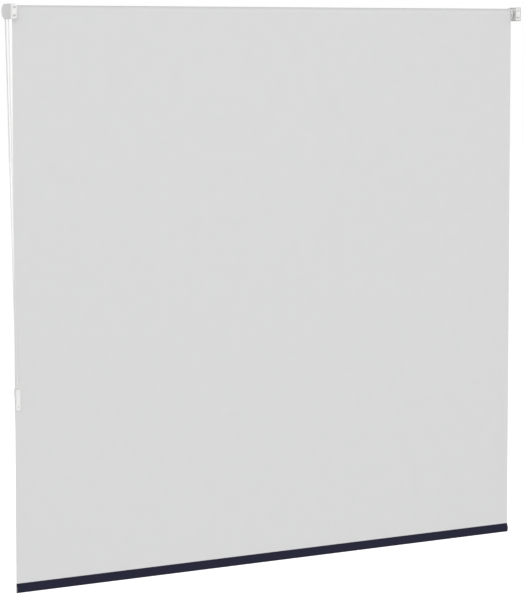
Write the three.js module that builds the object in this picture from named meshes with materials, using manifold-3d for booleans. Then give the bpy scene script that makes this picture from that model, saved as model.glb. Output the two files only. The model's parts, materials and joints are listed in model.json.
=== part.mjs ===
// Blackout roller blind with a chain drive, a sprung end plug and a hem bar.
// Lengths are in millimetres and +Z is up.
// The origin is on the wall, in the middle of the chain side bracket, level with the roller's axis.
// +X runs along the roller away from the chain, and +Y points from the wall into the room.
import * as THREE from "three";
import { mergeVertices } from "three/addons/utils/BufferGeometryUtils.js";
import Module from "manifold-3d";

const wasm = await Module();
wasm.setup();

// Sizes that the whole blind follows
const FABRIC_WIDTH = 1521;
const TUBE_MARGIN = 1.5;
const BLIND_HEIGHT = 1500;
const WALL_TO_AXIS = 44;
const GAP = 0.3;
const OVERRUN = 1;
const MERGE_TOLERANCE = 1e-4;
const SOLVE_TOLERANCE = 1e-6;

// Fabric
const CLOTH = 0.42;
const WRAP_GAP = 0.43;
const WRAPS = 1.5;
const WRAP_STEPS = 30;

// Tube with a channel for the fabric's spline
const TUBE_RADIUS = 14;
const TUBE_WALL = 1;
const CHANNEL_BORE = 1.3;
const CHANNEL_WALL = 0.7;
const CHANNEL_MOUTH = 1.2;
const SPLINE_RADIUS = 1;

// Brackets, both bent from one sheet
const SHEET = 1.8;
const BEND_RADIUS = 2.4;
const PLATE_WIDTH = 14.5;
const PLATE_CLEARANCE = 0.8;
const PLATE_STRAIGHT = 6;
const SLOT_LENGTH = 9;
const SLOT_WIDTH = 4.6;
const SLOT_TO_END = 6.7;
const SLOT_TO_BEND = 1;

// Bead chain and its wheel
const BEAD_RADIUS = 2.25;
const BEAD_PITCH = 6;
const BEADS = 332;
const LINK_RADIUS = 0.6;
const BEAD_SIDES = 5;
const POCKETS = 11;
const POCKET_CLEARANCE = 0.5;
const WHEEL_CHEEK = 0.75;
const WHEEL_LIP = 0.7;
const LINK_CLEARANCE = 0.4;
const LINK_GROOVE_DEPTH = 1.6;

// Guard round the wheel
const GUARD_CLEARANCE = 0.9;
const GUARD_WALL = 1.5;
const GUARD_LEG = 9;

// End covers
const COVER_ROOM = 2.65;
const COVER_WALL = 1.5;
const COVER_TO_TUBE = 1.2;
const FAR_COVER_DEPTH = 4;
const MOUTH_CLEARANCE = 1.5;
const MOUTH_TOP = 8;

// Clutch: core, springs and the hub that turns the tube
const NECK_STEP = 0.8;
const TIP_STEP = 2;
const CORE_TIP_LENGTH = 3.4;
const HUB_LENGTH = 46;
const HUB_WALL = 3.2;
const HUB_END_WALL = 2;
const HUB_LIP = 1;
const HUB_FLANGE = 2.9;
const HUB_RIBS = 5;
const RIB_HEIGHT = 0.6;
const RIB_WIDTH = 2.2;
const RETAINER_WALL = 2.9;
const RETAINER_THICKNESS = 1.4;
const SCREW_SHANK_RADIUS = 1.5;
const SCREW_HEAD_RADIUS = 3.2;
const SCREW_LENGTH = 14;
const SCREW_RECESS_RADIUS = 1.1;
const SCREW_RECESS_DEPTH = 1;
const FINGER_WALL = 1.3;
const FINGER_LENGTH = 38;
const FINGER_HALF_ANGLE = 0.5;
const SPRING_STEPS = 8;
const SPRING_SIDES = 5;
const SPRING_WIRE = 1;
const SPRING_PITCH = 1.55;
const SPRING_CURLS = 5;
const SPRING_SPACING = 17;
const SPRING_START = 6;

// Sprung plug at the far end
const PLUG_LENGTH = 34;
const PLUG_LIP = 2;
const PLUG_FLANGE = 3.5;
const PLUG_CHAMBER = 5.4;
const PIN_RADIUS = 3;
const PIN_TAIL_RADIUS = 2;
const PIN_COLLAR_CLEARANCE = 0.5;
const PIN_COLLAR = 2;
const PIN_STROKE = 6;
const PIN_WIRE = 0.9;
const PIN_CURLS = 7;
const PIN_TIP_CHAMFER = 0.8;
const PLUG_SHOULDER = 3;
const PLUG_CAP = 2.4;
const BUSH_WALL = 1.6;
const BUSH_FLANGE = 1.2;
const BUSH_FLANGE_RADIUS = 7.5;

// Hem with its bar
const HEM_SEAM = 4;
const HEM_EASE = 0.48;
const HEM_ROOM = 1.48;
const BAR_HEIGHT = 18.8;
const BAR_THICKNESS = 7.2;
const BAR_WALL = 1.1;
const BAR_INSET = 0.4;
const CAP_PLATE = 1.5;
const CAP_PLUG = 12;

// Clip that holds the chain's loop on the wall
const CLIP_X = 3.5;
const CLIP_EASE = 1.95;
const CLIP_BACK = 1.4;
const CLIP_WALL = 1.2;
const CLIP_TOP = 18.5;
const CLIP_BOTTOM = 35.7;
const CLIP_TAB = 2;
const CLIP_BOWL_WALL = 1.5;
const CLIP_TAPER = 8;
const CLIP_HOLE = 26;
const CLIP_HOLE_RADIUS = 2.2;
const CLIP_PIN_RADIUS = 1;

// Sizes that follow from the others
const rollRadius = TUBE_RADIUS + GAP + WRAPS * (CLOTH + WRAP_GAP) + CLOTH;
const pitchRadius = (POCKETS * BEAD_PITCH) / (2 * Math.PI);
const wheelWidth = 2 * (BEAD_RADIUS + WHEEL_CHEEK);
const guardInner = pitchRadius + BEAD_RADIUS + GUARD_CLEARANCE;
const guardOuter = guardInner + GUARD_WALL;
const coverInner = guardOuter + COVER_ROOM;
const coverRadius = coverInner + COVER_WALL;
const plateHeight = 2 * (coverInner - PLATE_CLEARANCE);
const slotSpacing = plateHeight - 2 * SLOT_TO_END;
const slotFromEdge = BEND_RADIUS + SLOT_TO_BEND + SLOT_LENGTH / 2;
const plugBody = TUBE_RADIUS - TUBE_WALL - GAP - RIB_HEIGHT;
const hubBore = plugBody - HUB_WALL;
const springOuter = hubBore - 2 * GAP - FINGER_WALL;
const springCoil = springOuter - SPRING_WIRE / 2;
const drumRadius = springCoil * Math.cos(Math.PI / SPRING_STEPS) - SPRING_WIRE / 2 - GAP;
const neckRadius = drumRadius - NECK_STEP;
const tipRadius = drumRadius - TIP_STEP;
const pinCollarRadius = PLUG_CHAMBER - PIN_COLLAR_CLEARANCE;
const pinCoil = (PIN_TAIL_RADIUS + PLUG_CHAMBER) / 2;
const hemThickness = BAR_THICKNESS + 2 * (CLOTH + HEM_EASE);
const hemHeight = BAR_HEIGHT + CLOTH + GAP + HEM_ROOM + HEM_SEAM;
const clipWidth = 2 * (BEAD_RADIUS + CLIP_EASE + CLIP_WALL);

// Places that follow from the sizes
const armInner = -PLATE_WIDTH / 2 + SHEET;
const wheelStart = armInner + GAP;
const chainX = wheelStart + wheelWidth / 2;
const wheelEnd = wheelStart + wheelWidth;
const hubStart = wheelEnd + GAP;
const tubeStart = hubStart + HUB_FLANGE + GAP;
const fabricStart = tubeStart + TUBE_MARGIN;
const fabricEnd = fabricStart + FABRIC_WIDTH;
const tubeEnd = fabricEnd + TUBE_MARGIN;
const plugFlangeStart = tubeEnd + GAP;
const plugFlangeEnd = plugFlangeStart + PLUG_FLANGE;
const farPlateStart = plugFlangeEnd - PLUG_FLANGE - BUSH_FLANGE - SHEET;
const farArmInner = farPlateStart + PLATE_WIDTH - SHEET;
const farArmOuter = farPlateStart + PLATE_WIDTH;
const coverOuter = -PLATE_WIDTH / 2 - GAP - COVER_WALL;
const coverDepth = tubeStart - COVER_TO_TUBE - coverOuter;
const channelRadius = TUBE_RADIUS - TUBE_WALL - CHANNEL_BORE;
const clothFront = WALL_TO_AXIS - rollRadius;
const clothMiddle = clothFront + CLOTH / 2;
const hemBottom = rollRadius - BLIND_HEIGHT;
const hemTop = hemBottom + hemHeight;
const barMiddle = hemBottom + CLOTH + GAP + BAR_HEIGHT / 2;

// A mesh as a solid, and a solid as a mesh
function solidOf(geometry) {
  const bare = geometry.clone();
  bare.deleteAttribute("normal");
  bare.deleteAttribute("uv");
  const merged = mergeVertices(bare, MERGE_TOLERANCE);
  const vertProperties = merged.attributes.position.array;
  const triVerts = new Uint32Array(merged.index.array);
  return new wasm.Manifold(new wasm.Mesh({ numProp: 3, vertProperties, triVerts }));
}

function geometryOf(solid) {
  const mesh = solid.getMesh();
  const geometry = new THREE.BufferGeometry();
  geometry.setAttribute("position", new THREE.BufferAttribute(mesh.vertProperties, 3));
  geometry.setIndex(new THREE.BufferAttribute(mesh.triVerts, 1));
  const flat = geometry.toNonIndexed();
  flat.computeVertexNormals();
  return flat;
}

function cut(body, ...tools) {
  return tools.reduce((left, tool) => left.subtract(tool), body);
}

function join(...bodies) {
  return bodies.reduce((sum, body) => sum.add(body));
}

// An outline drawn in Y and Z, carried along X from start to end
function alongX(shape, start, end, segments = 16) {
  const options = { depth: end - start, bevelEnabled: false, curveSegments: segments };
  const geometry = new THREE.ExtrudeGeometry(shape, options);
  const axes = [new THREE.Vector3(0, 1, 0), new THREE.Vector3(0, 0, 1), new THREE.Vector3(1, 0, 0)];
  geometry.applyMatrix4(new THREE.Matrix4().makeBasis(...axes));
  return geometry.translate(start, 0, 0);
}

// An outline drawn in X and Y, carried along Z from bottom to top
function alongZ(shape, bottom, top, segments = 8) {
  const options = { depth: top - bottom, bevelEnabled: false, curveSegments: segments };
  return new THREE.ExtrudeGeometry(shape, options).translate(0, 0, bottom);
}

// A turned piece on an axis along X, from pairs of distance along X and radius
function turned(profile, sides, y = WALL_TO_AXIS, z = 0) {
  const points = profile.map(([x, radius]) => new THREE.Vector2(radius, x));
  const geometry = new THREE.LatheGeometry(points, sides);
  const axes = [new THREE.Vector3(0, 0, 1), new THREE.Vector3(1, 0, 0), new THREE.Vector3(0, 1, 0)];
  geometry.applyMatrix4(new THREE.Matrix4().makeBasis(...axes));
  return geometry.translate(0, y, z);
}

function rod(start, end, radius, sides, y = WALL_TO_AXIS, z = 0) {
  return turned([[start, 0], [start, radius], [end, radius], [end, 0]], sides, y, z);
}

function ring(start, end, inner, outer, sides, y = WALL_TO_AXIS, z = 0) {
  return turned([[start, inner], [start, outer], [end, outer], [end, inner], [start, inner]], sides, y, z);
}

function block([x0, x1], [y0, y1], [z0, z1]) {
  const geometry = new THREE.BoxGeometry(x1 - x0, y1 - y0, z1 - z0);
  return geometry.translate((x0 + x1) / 2, (y0 + y1) / 2, (z0 + z1) / 2);
}

// A tube through stations, each a centre with two directions across it and a radius
function tubeThrough(stations, sides, closed) {
  const points = [];
  for (const station of stations) {
    for (let side = 0; side < sides; side += 1) {
      const angle = (2 * Math.PI * side) / sides;
      const point = station.centre.clone();
      point.addScaledVector(station.across, station.radius * Math.cos(angle));
      point.addScaledVector(station.up, station.radius * Math.sin(angle));
      points.push(point);
    }
  }
  const faces = [];
  const rings = closed ? stations.length : stations.length - 1;
  for (let i = 0; i < rings; i += 1) {
    const next = (i + 1) % stations.length;
    for (let side = 0; side < sides; side += 1) {
      const beside = (side + 1) % sides;
      const [a, b] = [i * sides + side, i * sides + beside];
      const [c, d] = [next * sides + beside, next * sides + side];
      faces.push([a, b, c], [a, c, d]);
    }
  }
  if (!closed) {
    const last = (stations.length - 1) * sides;
    for (let side = 1; side < sides - 1; side += 1) {
      faces.push([0, side + 1, side], [last, last + side, last + side + 1]);
    }
  }
  const flat = faces.flat().flatMap((i) => points[i].toArray());
  const geometry = new THREE.BufferGeometry();
  geometry.setAttribute("position", new THREE.Float32BufferAttribute(flat, 3));
  geometry.computeVertexNormals();
  return geometry;
}

// A spring round the roller's axis, as one unbroken tube, with its least gap to itself printed
function spring(name, start, pitch, curls, coilRadius, wire) {
  const stations = [];
  for (let i = 0; i <= curls * SPRING_STEPS; i += 1) {
    const angle = (2 * Math.PI * i) / SPRING_STEPS;
    const out = new THREE.Vector3(0, Math.cos(angle), Math.sin(angle));
    const centre = out.clone().multiplyScalar(coilRadius);
    centre.x = start + wire / 2 + (pitch * i) / SPRING_STEPS;
    centre.y += WALL_TO_AXIS;
    stations.push({ centre, across: out, up: new THREE.Vector3(-1, 0, 0), radius: wire / 2 });
  }
  let least = Infinity;
  stations.forEach((a, i) => {
    stations.slice(i + SPRING_STEPS - 1).forEach((b) => {
      least = Math.min(least, a.centre.distanceTo(b.centre) - wire);
    });
  });
  console.log(`${name}: least gap to itself ${least.toFixed(2)} mm`);
  return tubeThrough(stations, SPRING_SIDES, false);
}

// The D outline of the covers, grown or shrunk by an amount
function coverOutline(inset) {
  const radius = coverRadius - inset;
  const shape = new THREE.Shape();
  shape.moveTo(0, -radius);
  shape.lineTo(WALL_TO_AXIS, -radius);
  shape.absarc(WALL_TO_AXIS, 0, radius, -Math.PI / 2, Math.PI / 2, false);
  shape.lineTo(0, radius);
  shape.closePath();
  return shape;
}

// A bent sheet bracket: a wall plate and an arm that stands out at its outer edge
function bracket(outerX, inward) {
  const bend = new THREE.Shape();
  const inner = BEND_RADIUS - SHEET;
  const reach = WALL_TO_AXIS + guardOuter + OVERRUN;
  bend.moveTo(outerX + inward * PLATE_WIDTH, 0);
  bend.lineTo(outerX + inward * PLATE_WIDTH, SHEET);
  bend.lineTo(outerX + inward * BEND_RADIUS, SHEET);
  bend.quadraticCurveTo(outerX + inward * SHEET, SHEET, outerX + inward * SHEET, SHEET + inner);
  bend.lineTo(outerX + inward * SHEET, reach);
  bend.lineTo(outerX, reach);
  bend.lineTo(outerX, BEND_RADIUS);
  bend.quadraticCurveTo(outerX, 0, outerX + inward * BEND_RADIUS, 0);
  bend.closePath();
  const side = new THREE.Shape();
  side.moveTo(-OVERRUN, -plateHeight / 2);
  side.lineTo(PLATE_STRAIGHT, -plateHeight / 2);
  side.lineTo(WALL_TO_AXIS, -guardOuter);
  side.absarc(WALL_TO_AXIS, 0, guardOuter, -Math.PI / 2, Math.PI / 2, false);
  side.lineTo(PLATE_STRAIGHT, plateHeight / 2);
  side.lineTo(-OVERRUN, plateHeight / 2);
  side.closePath();
  const [low, high] = [outerX, outerX + inward * PLATE_WIDTH].sort((a, b) => a - b);
  const sheet = solidOf(alongZ(bend, -plateHeight, plateHeight, 4));
  const outline = solidOf(alongX(side, low - OVERRUN, high + OVERRUN, 14));
  const slots = [-1, 1].map((way) => slot(outerX + inward * slotFromEdge, (way * slotSpacing) / 2));
  return cut(sheet.intersect(outline), ...slots);
}

// A screw slot through a wall plate, long along X, with round ends
function slot(x, z) {
  const half = (SLOT_LENGTH - SLOT_WIDTH) / 2;
  const shape = new THREE.Shape();
  shape.absarc(half, 0, SLOT_WIDTH / 2, -Math.PI / 2, Math.PI / 2, false);
  shape.absarc(-half, 0, SLOT_WIDTH / 2, Math.PI / 2, (3 * Math.PI) / 2, false);
  shape.closePath();
  const geometry = alongZ(shape, -OVERRUN, SHEET + OVERRUN, 4);
  return solidOf(geometry.rotateX(-Math.PI / 2).translate(x, 0, z));
}

// Chain side bracket with a countersunk hole for the core's screw
function controlBracket() {
  const outer = -PLATE_WIDTH / 2;
  const hole = SCREW_SHANK_RADIUS + GAP;
  const sink = SCREW_HEAD_RADIUS + GAP;
  const profile = [
    [outer - OVERRUN, 0],
    [outer - OVERRUN, sink + OVERRUN],
    [outer, sink],
    [outer + sink - hole, hole],
    [armInner + OVERRUN, hole],
    [armInner + OVERRUN, 0],
  ];
  return cut(bracket(outer, 1), solidOf(turned(profile, 24)));
}

function idleBracket() {
  const hole = rod(farArmInner - OVERRUN, farArmOuter + OVERRUN, PIN_RADIUS + 2 * GAP + BUSH_WALL, 28);
  return cut(bracket(farArmOuter, -1), solidOf(hole));
}

// A cover is a D plate outside the arm with a rim that runs back over the bracket
function controlCover() {
  const shell = alongX(coverOutline(0), coverOuter, coverOuter + coverDepth, 18);
  const inner = coverOutline(COVER_WALL);
  const hollow = alongX(inner, coverOuter + COVER_WALL, coverOuter + coverDepth + OVERRUN, 18);
  const back = [-OVERRUN, COVER_WALL];
  const span = [coverOuter + COVER_WALL, coverOuter + coverDepth + OVERRUN];
  const open = block(span, back, [-coverInner, coverInner]);
  const half = pitchRadius + BEAD_RADIUS + MOUTH_CLEARANCE;
  const mouth = block(
    span,
    [WALL_TO_AXIS - half - MOUTH_CLEARANCE, WALL_TO_AXIS + half],
    [-coverRadius - OVERRUN, -MOUTH_TOP],
  );
  return cut(solidOf(shell), solidOf(hollow), solidOf(open), solidOf(mouth));
}

function idleCover() {
  const outer = farArmOuter + GAP + COVER_WALL;
  const shell = alongX(coverOutline(0), outer - FAR_COVER_DEPTH, outer, 18);
  const hollow = alongX(coverOutline(COVER_WALL), outer - FAR_COVER_DEPTH - OVERRUN, outer - COVER_WALL, 18);
  const span = [outer - FAR_COVER_DEPTH - OVERRUN, outer - COVER_WALL];
  const open = block(span, [-OVERRUN, COVER_WALL], [-coverInner, coverInner]);
  return cut(solidOf(shell), solidOf(hollow), solidOf(open));
}

// Guard: a horseshoe over the wheel that keeps the beads in their pockets
function chainGuard() {
  const [inner, outer] = [guardInner, guardOuter];
  const shape = new THREE.Shape();
  shape.moveTo(WALL_TO_AXIS + outer, -GUARD_LEG);
  shape.absarc(WALL_TO_AXIS, 0, outer, 0, Math.PI, false);
  shape.lineTo(WALL_TO_AXIS - outer, -GUARD_LEG);
  shape.lineTo(WALL_TO_AXIS - inner, -GUARD_LEG);
  shape.absarc(WALL_TO_AXIS, 0, inner, Math.PI, 0, true);
  shape.lineTo(WALL_TO_AXIS + inner, -GUARD_LEG);
  shape.closePath();
  return solidOf(alongX(shape, wheelStart, wheelEnd, 18));
}

// Wheel with a pocket for each bead, a groove for the links and two drive fingers
function sprocket() {
  const rim = pitchRadius + WHEEL_LIP;
  const body = solidOf(ring(wheelStart, wheelEnd, neckRadius + GAP, rim, 2 * POCKETS));
  const groove = [chainX - LINK_RADIUS - LINK_CLEARANCE, chainX + LINK_RADIUS + LINK_CLEARANCE];
  const floor = pitchRadius - LINK_GROOVE_DEPTH;
  const cuts = [solidOf(ring(...groove, floor, rim + OVERRUN, 2 * POCKETS))];
  for (let i = 0; i < POCKETS; i += 1) {
    const angle = Math.PI / 2 + (2 * Math.PI * i) / POCKETS;
    const pocket = new THREE.SphereGeometry(BEAD_RADIUS + POCKET_CLEARANCE, 8, 6);
    pocket.translate(chainX, WALL_TO_AXIS + pitchRadius * Math.cos(angle), pitchRadius * Math.sin(angle));
    cuts.push(solidOf(pocket));
  }
  const fingers = [0, Math.PI].map((turn) => finger(turn));
  return join(cut(body, ...cuts), ...fingers);
}

// A drive finger is a bent strip that reaches from the wheel into the hub
function finger(turn) {
  const outer = hubBore - GAP;
  const inner = outer - FINGER_WALL;
  const [from, to] = [turn - FINGER_HALF_ANGLE, turn + FINGER_HALF_ANGLE];
  const shape = new THREE.Shape();
  shape.moveTo(WALL_TO_AXIS + inner * Math.cos(from), inner * Math.sin(from));
  shape.lineTo(WALL_TO_AXIS + outer * Math.cos(from), outer * Math.sin(from));
  shape.absarc(WALL_TO_AXIS, 0, outer, from, to, false);
  shape.lineTo(WALL_TO_AXIS + inner * Math.cos(to), inner * Math.sin(to));
  shape.absarc(WALL_TO_AXIS, 0, inner, to, from, true);
  shape.closePath();
  return solidOf(alongX(shape, wheelEnd - OVERRUN, wheelEnd + FINGER_LENGTH, 5));
}

// Fixed core: a neck for the wheel, a drum for the springs and a tip for the retainer
const drumStart = wheelEnd + GAP;
const drumEnd = hubStart + HUB_LENGTH - HUB_END_WALL - GAP;
const tipEnd = drumEnd + HUB_END_WALL + 2 * GAP + CORE_TIP_LENGTH;
function clutchCore() {
  const profile = [
    [wheelStart, 0],
    [wheelStart, neckRadius],
    [drumStart, neckRadius],
    [drumStart, drumRadius],
    [drumEnd, drumRadius],
    [drumEnd, tipRadius],
    [tipEnd, tipRadius],
    [tipEnd, 0],
  ];
  const bore = rod(wheelStart - OVERRUN, wheelStart + SCREW_LENGTH, SCREW_SHANK_RADIUS + GAP, 16);
  return cut(solidOf(turned(profile, 24)), solidOf(bore));
}

function coreScrew() {
  const face = -PLATE_WIDTH / 2;
  const profile = [
    [face, 0],
    [face, SCREW_HEAD_RADIUS],
    [face + SCREW_HEAD_RADIUS - SCREW_SHANK_RADIUS, SCREW_SHANK_RADIUS],
    [face + SCREW_LENGTH, SCREW_SHANK_RADIUS],
    [face + SCREW_LENGTH, 0],
  ];
  const recess = rod(face - OVERRUN, face + SCREW_RECESS_DEPTH, SCREW_RECESS_RADIUS, 6);
  return cut(solidOf(turned(profile, 20)), solidOf(recess));
}

function hubRetainer() {
  const start = drumEnd + HUB_END_WALL + 2 * GAP;
  const bore = tipRadius + GAP;
  return solidOf(ring(start, start + RETAINER_THICKNESS, bore, bore + RETAINER_WALL, 20));
}

// The tube's channel, grown by a clearance, for the plugs' keyways
function channel(start, end, radius, mouth) {
  const y = WALL_TO_AXIS + channelRadius;
  const round = solidOf(rod(start, end, radius, 14, y));
  const out = [y, WALL_TO_AXIS + TUBE_RADIUS + OVERRUN];
  return join(round, solidOf(block([start, end], out, [-mouth, mouth])));
}

// Ribs along a plug that centre it in the tube
function ribs(start, end, radius) {
  const top = radius + RIB_HEIGHT;
  return Array.from({ length: HUB_RIBS }, (_, i) => {
    const angle = (2 * Math.PI * (i + 0.5)) / HUB_RIBS;
    const rib = block([start, end], [radius - RIB_WIDTH, top], [-RIB_WIDTH / 2, RIB_WIDTH / 2]);
    return solidOf(rib.rotateX(angle).translate(0, WALL_TO_AXIS, 0));
  });
}

function keyed(body, start, end) {
  const grown = CHANNEL_BORE + CHANNEL_WALL + GAP;
  return cut(body, channel(start - OVERRUN, end + OVERRUN, grown, grown));
}

function driveHub() {
  const end = hubStart + HUB_LENGTH;
  const insideStart = tubeStart;
  const sleeve = solidOf(rod(hubStart + HUB_FLANGE / 2, end, plugBody, 24));
  const barrel = keyed(join(sleeve, ...ribs(insideStart, end, plugBody)), insideStart, end);
  const flange = solidOf(rod(hubStart, hubStart + HUB_FLANGE, TUBE_RADIUS + HUB_LIP, 36));
  const bore = solidOf(rod(hubStart - OVERRUN, end - HUB_END_WALL, hubBore, 24));
  const tip = solidOf(rod(hubStart - OVERRUN, end + OVERRUN, tipRadius + GAP, 20));
  return cut(join(barrel, flange), bore, tip);
}

function rollerTube() {
  const round = solidOf(rod(tubeStart, tubeEnd, TUBE_RADIUS, 40));
  const hollow = solidOf(rod(tubeStart - OVERRUN, tubeEnd + OVERRUN, TUBE_RADIUS - TUBE_WALL, 40));
  const y = WALL_TO_AXIS + channelRadius;
  const wall = solidOf(rod(tubeStart, tubeEnd, CHANNEL_BORE + CHANNEL_WALL, 14, y));
  const groove = channel(tubeStart - OVERRUN, tubeEnd + OVERRUN, CHANNEL_BORE, CHANNEL_MOUTH / 2);
  return cut(join(cut(round, hollow), wall.intersect(round)), groove);
}

function tubeSpline() {
  return rod(fabricStart, fabricEnd, SPLINE_RADIUS, 10, WALL_TO_AXIS + channelRadius);
}

// Rolled fabric: a spiral sheet that leaves the roll on the wall side, level with the axis
function fabricRoll() {
  const first = TUBE_RADIUS + GAP;
  const last = rollRadius - CLOTH;
  const steps = Math.round(WRAPS * WRAP_STEPS);
  const inner = [];
  const outer = [];
  for (let i = 0; i <= steps; i += 1) {
    const angle = Math.PI - 2 * Math.PI * WRAPS * (1 - i / steps);
    const radius = first + ((last - first) * i) / steps;
    const way = new THREE.Vector2(Math.cos(angle), Math.sin(angle));
    const middle = new THREE.Vector2(WALL_TO_AXIS, 0);
    inner.push(middle.clone().addScaledVector(way, radius));
    outer.push(middle.clone().addScaledVector(way, radius + CLOTH));
  }
  const shape = new THREE.Shape([...inner, ...outer.reverse()]);
  return alongX(shape, fabricStart, fabricEnd);
}

function fabricDrop() {
  const down = [hemTop + GAP, -GAP];
  return block([fabricStart, fabricEnd], [clothFront, clothFront + CLOTH], down);
}

// The hem's outline, drawn in by an inset: a seam above a full round pocket
function hemOutline(shape, inset, seamTop) {
  const half = hemThickness / 2 - inset;
  const seam = CLOTH + GAP / 2 - inset;
  const shoulder = hemTop - HEM_SEAM - inset;
  const widest = hemBottom + hemHeight / 2 - HEM_SEAM / 2;
  const low = hemBottom + inset;
  shape.moveTo(clothMiddle - seam, seamTop);
  shape.lineTo(clothMiddle - seam, shoulder);
  shape.quadraticCurveTo(clothMiddle - half, shoulder - half / 2, clothMiddle - half, widest);
  shape.bezierCurveTo(clothMiddle - half, low, clothMiddle - half / 2, low, clothMiddle, low);
  shape.bezierCurveTo(clothMiddle + half / 2, low, clothMiddle + half, low, clothMiddle + half, widest);
  shape.quadraticCurveTo(clothMiddle + half, shoulder - half / 2, clothMiddle + seam, shoulder);
  shape.lineTo(clothMiddle + seam, seamTop);
  shape.closePath();
  return shape;
}

function hemPocket() {
  const outline = hemOutline(new THREE.Shape(), 0, hemTop);
  outline.holes.push(hemOutline(new THREE.Path(), CLOTH, hemTop - HEM_SEAM));
  return alongX(outline, fabricStart, fabricEnd, 8);
}

// The bar's oval outline, drawn in by an inset
function ovalOutline(shape, inset) {
  shape.absellipse(clothMiddle, barMiddle, BAR_THICKNESS / 2 - inset, BAR_HEIGHT / 2 - inset, 0, 2 * Math.PI);
  return shape;
}

const capOuterLeft = fabricStart + BAR_INSET;
const capOuterRight = fabricEnd - BAR_INSET;

function bottomBar() {
  const outline = ovalOutline(new THREE.Shape(), 0);
  outline.holes.push(ovalOutline(new THREE.Path(), BAR_WALL));
  return alongX(outline, capOuterLeft + CAP_PLATE + GAP, capOuterRight - CAP_PLATE - GAP, 14);
}

function barCap(outer, inward) {
  const along = (from, to) => [outer + inward * from, outer + inward * to].sort((a, b) => a - b);
  const plate = along(0, CAP_PLATE);
  const plug = along(CAP_PLATE / 2, CAP_PLATE + CAP_PLUG);
  const face = solidOf(alongX(ovalOutline(new THREE.Shape(), 0), ...plate, 14));
  const stem = solidOf(alongX(ovalOutline(new THREE.Shape(), BAR_WALL + GAP), ...plug, 14));
  return join(face, stem);
}

// Sprung plug: a flanged body with a chamber for the pin's collar and spring
const plugStart = tubeEnd - PLUG_LENGTH;
const chamberEnd = plugFlangeEnd - PLUG_SHOULDER;
const collarEnd = chamberEnd - GAP;
const collarStart = collarEnd - PIN_COLLAR;

function idlePlug() {
  const sleeve = solidOf(rod(plugStart, plugFlangeStart + PLUG_FLANGE / 2, plugBody, 24));
  const barrel = keyed(join(sleeve, ...ribs(plugStart, tubeEnd, plugBody)), plugStart, tubeEnd);
  const flange = solidOf(rod(plugFlangeStart, plugFlangeEnd, rollRadius + PLUG_LIP, 40));
  const chamber = solidOf(rod(plugStart - OVERRUN, chamberEnd, PLUG_CHAMBER, 24));
  const bore = solidOf(rod(plugStart, plugFlangeEnd + OVERRUN, PIN_RADIUS + GAP, 24));
  return cut(join(barrel, flange), chamber, bore);
}

function plugRetainer() {
  const end = plugStart + PLUG_CAP;
  return solidOf(ring(plugStart, end, PIN_TAIL_RADIUS + GAP, PLUG_CHAMBER - GAP, 24));
}

function idlePin() {
  const tip = farArmOuter - GAP / 2;
  const profile = [
    [plugStart + PLUG_CAP + PIN_STROKE / 2, 0],
    [plugStart + PLUG_CAP + PIN_STROKE / 2, PIN_TAIL_RADIUS],
    [collarStart, PIN_TAIL_RADIUS],
    [collarStart, pinCollarRadius],
    [collarEnd, pinCollarRadius],
    [collarEnd, PIN_RADIUS],
    [tip - PIN_TIP_CHAMFER, PIN_RADIUS],
    [tip, PIN_RADIUS - PIN_TIP_CHAMFER],
    [tip, 0],
  ];
  return turned(profile, 18);
}

function pinSpring() {
  const start = plugStart + PLUG_CAP + GAP;
  const pitch = (collarStart - GAP - PIN_WIRE - start) / PIN_CURLS;
  return spring("pin_spring", start, pitch, PIN_CURLS, pinCoil, PIN_WIRE);
}

function idleBush() {
  const bore = PIN_RADIUS + GAP;
  const profile = [
    [farArmInner - GAP - BUSH_FLANGE, bore],
    [farArmInner - GAP - BUSH_FLANGE, BUSH_FLANGE_RADIUS],
    [farArmInner - GAP, BUSH_FLANGE_RADIUS],
    [farArmInner - GAP, bore + BUSH_WALL],
    [farArmOuter, bore + BUSH_WALL],
    [farArmOuter, bore],
    [farArmInner - GAP - BUSH_FLANGE, bore],
  ];
  return turned(profile, 28);
}

// The chain runs as a belt round the wheel and round the clip's pin
const clipRunRadius = CLIP_PIN_RADIUS + GAP + BEAD_RADIUS;
const clipPinY = CLIP_BACK + GAP + BEAD_RADIUS + clipRunRadius;
const runDifference = pitchRadius - clipRunRadius;
const sideStep = CLIP_X - chainX;

function beltLength(distance) {
  const lean = Math.asin(runDifference / distance);
  const strand = Math.hypot(distance * Math.cos(lean), sideStep);
  return 2 * strand + pitchRadius * (Math.PI + 2 * lean) + clipRunRadius * (Math.PI - 2 * lean);
}

// The distance from wheel to pin at which the belt is as long as its beads
function beltDistance() {
  let [low, high] = [pitchRadius, BEADS * BEAD_PITCH];
  while (high - low > SOLVE_TOLERANCE) {
    const middle = (low + high) / 2;
    if (beltLength(middle) < BEADS * BEAD_PITCH) low = middle;
    else high = middle;
  }
  return low;
}

const distance = beltDistance();
const clipPinZ = -Math.sqrt(distance ** 2 - (WALL_TO_AXIS - clipPinY) ** 2);
const beltLean = Math.asin(runDifference / distance);
const strandFlat = distance * Math.cos(beltLean);
const strandLength = Math.hypot(strandFlat, sideStep);
const downAngle = Math.atan2(clipPinZ, clipPinY - WALL_TO_AXIS);

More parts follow.
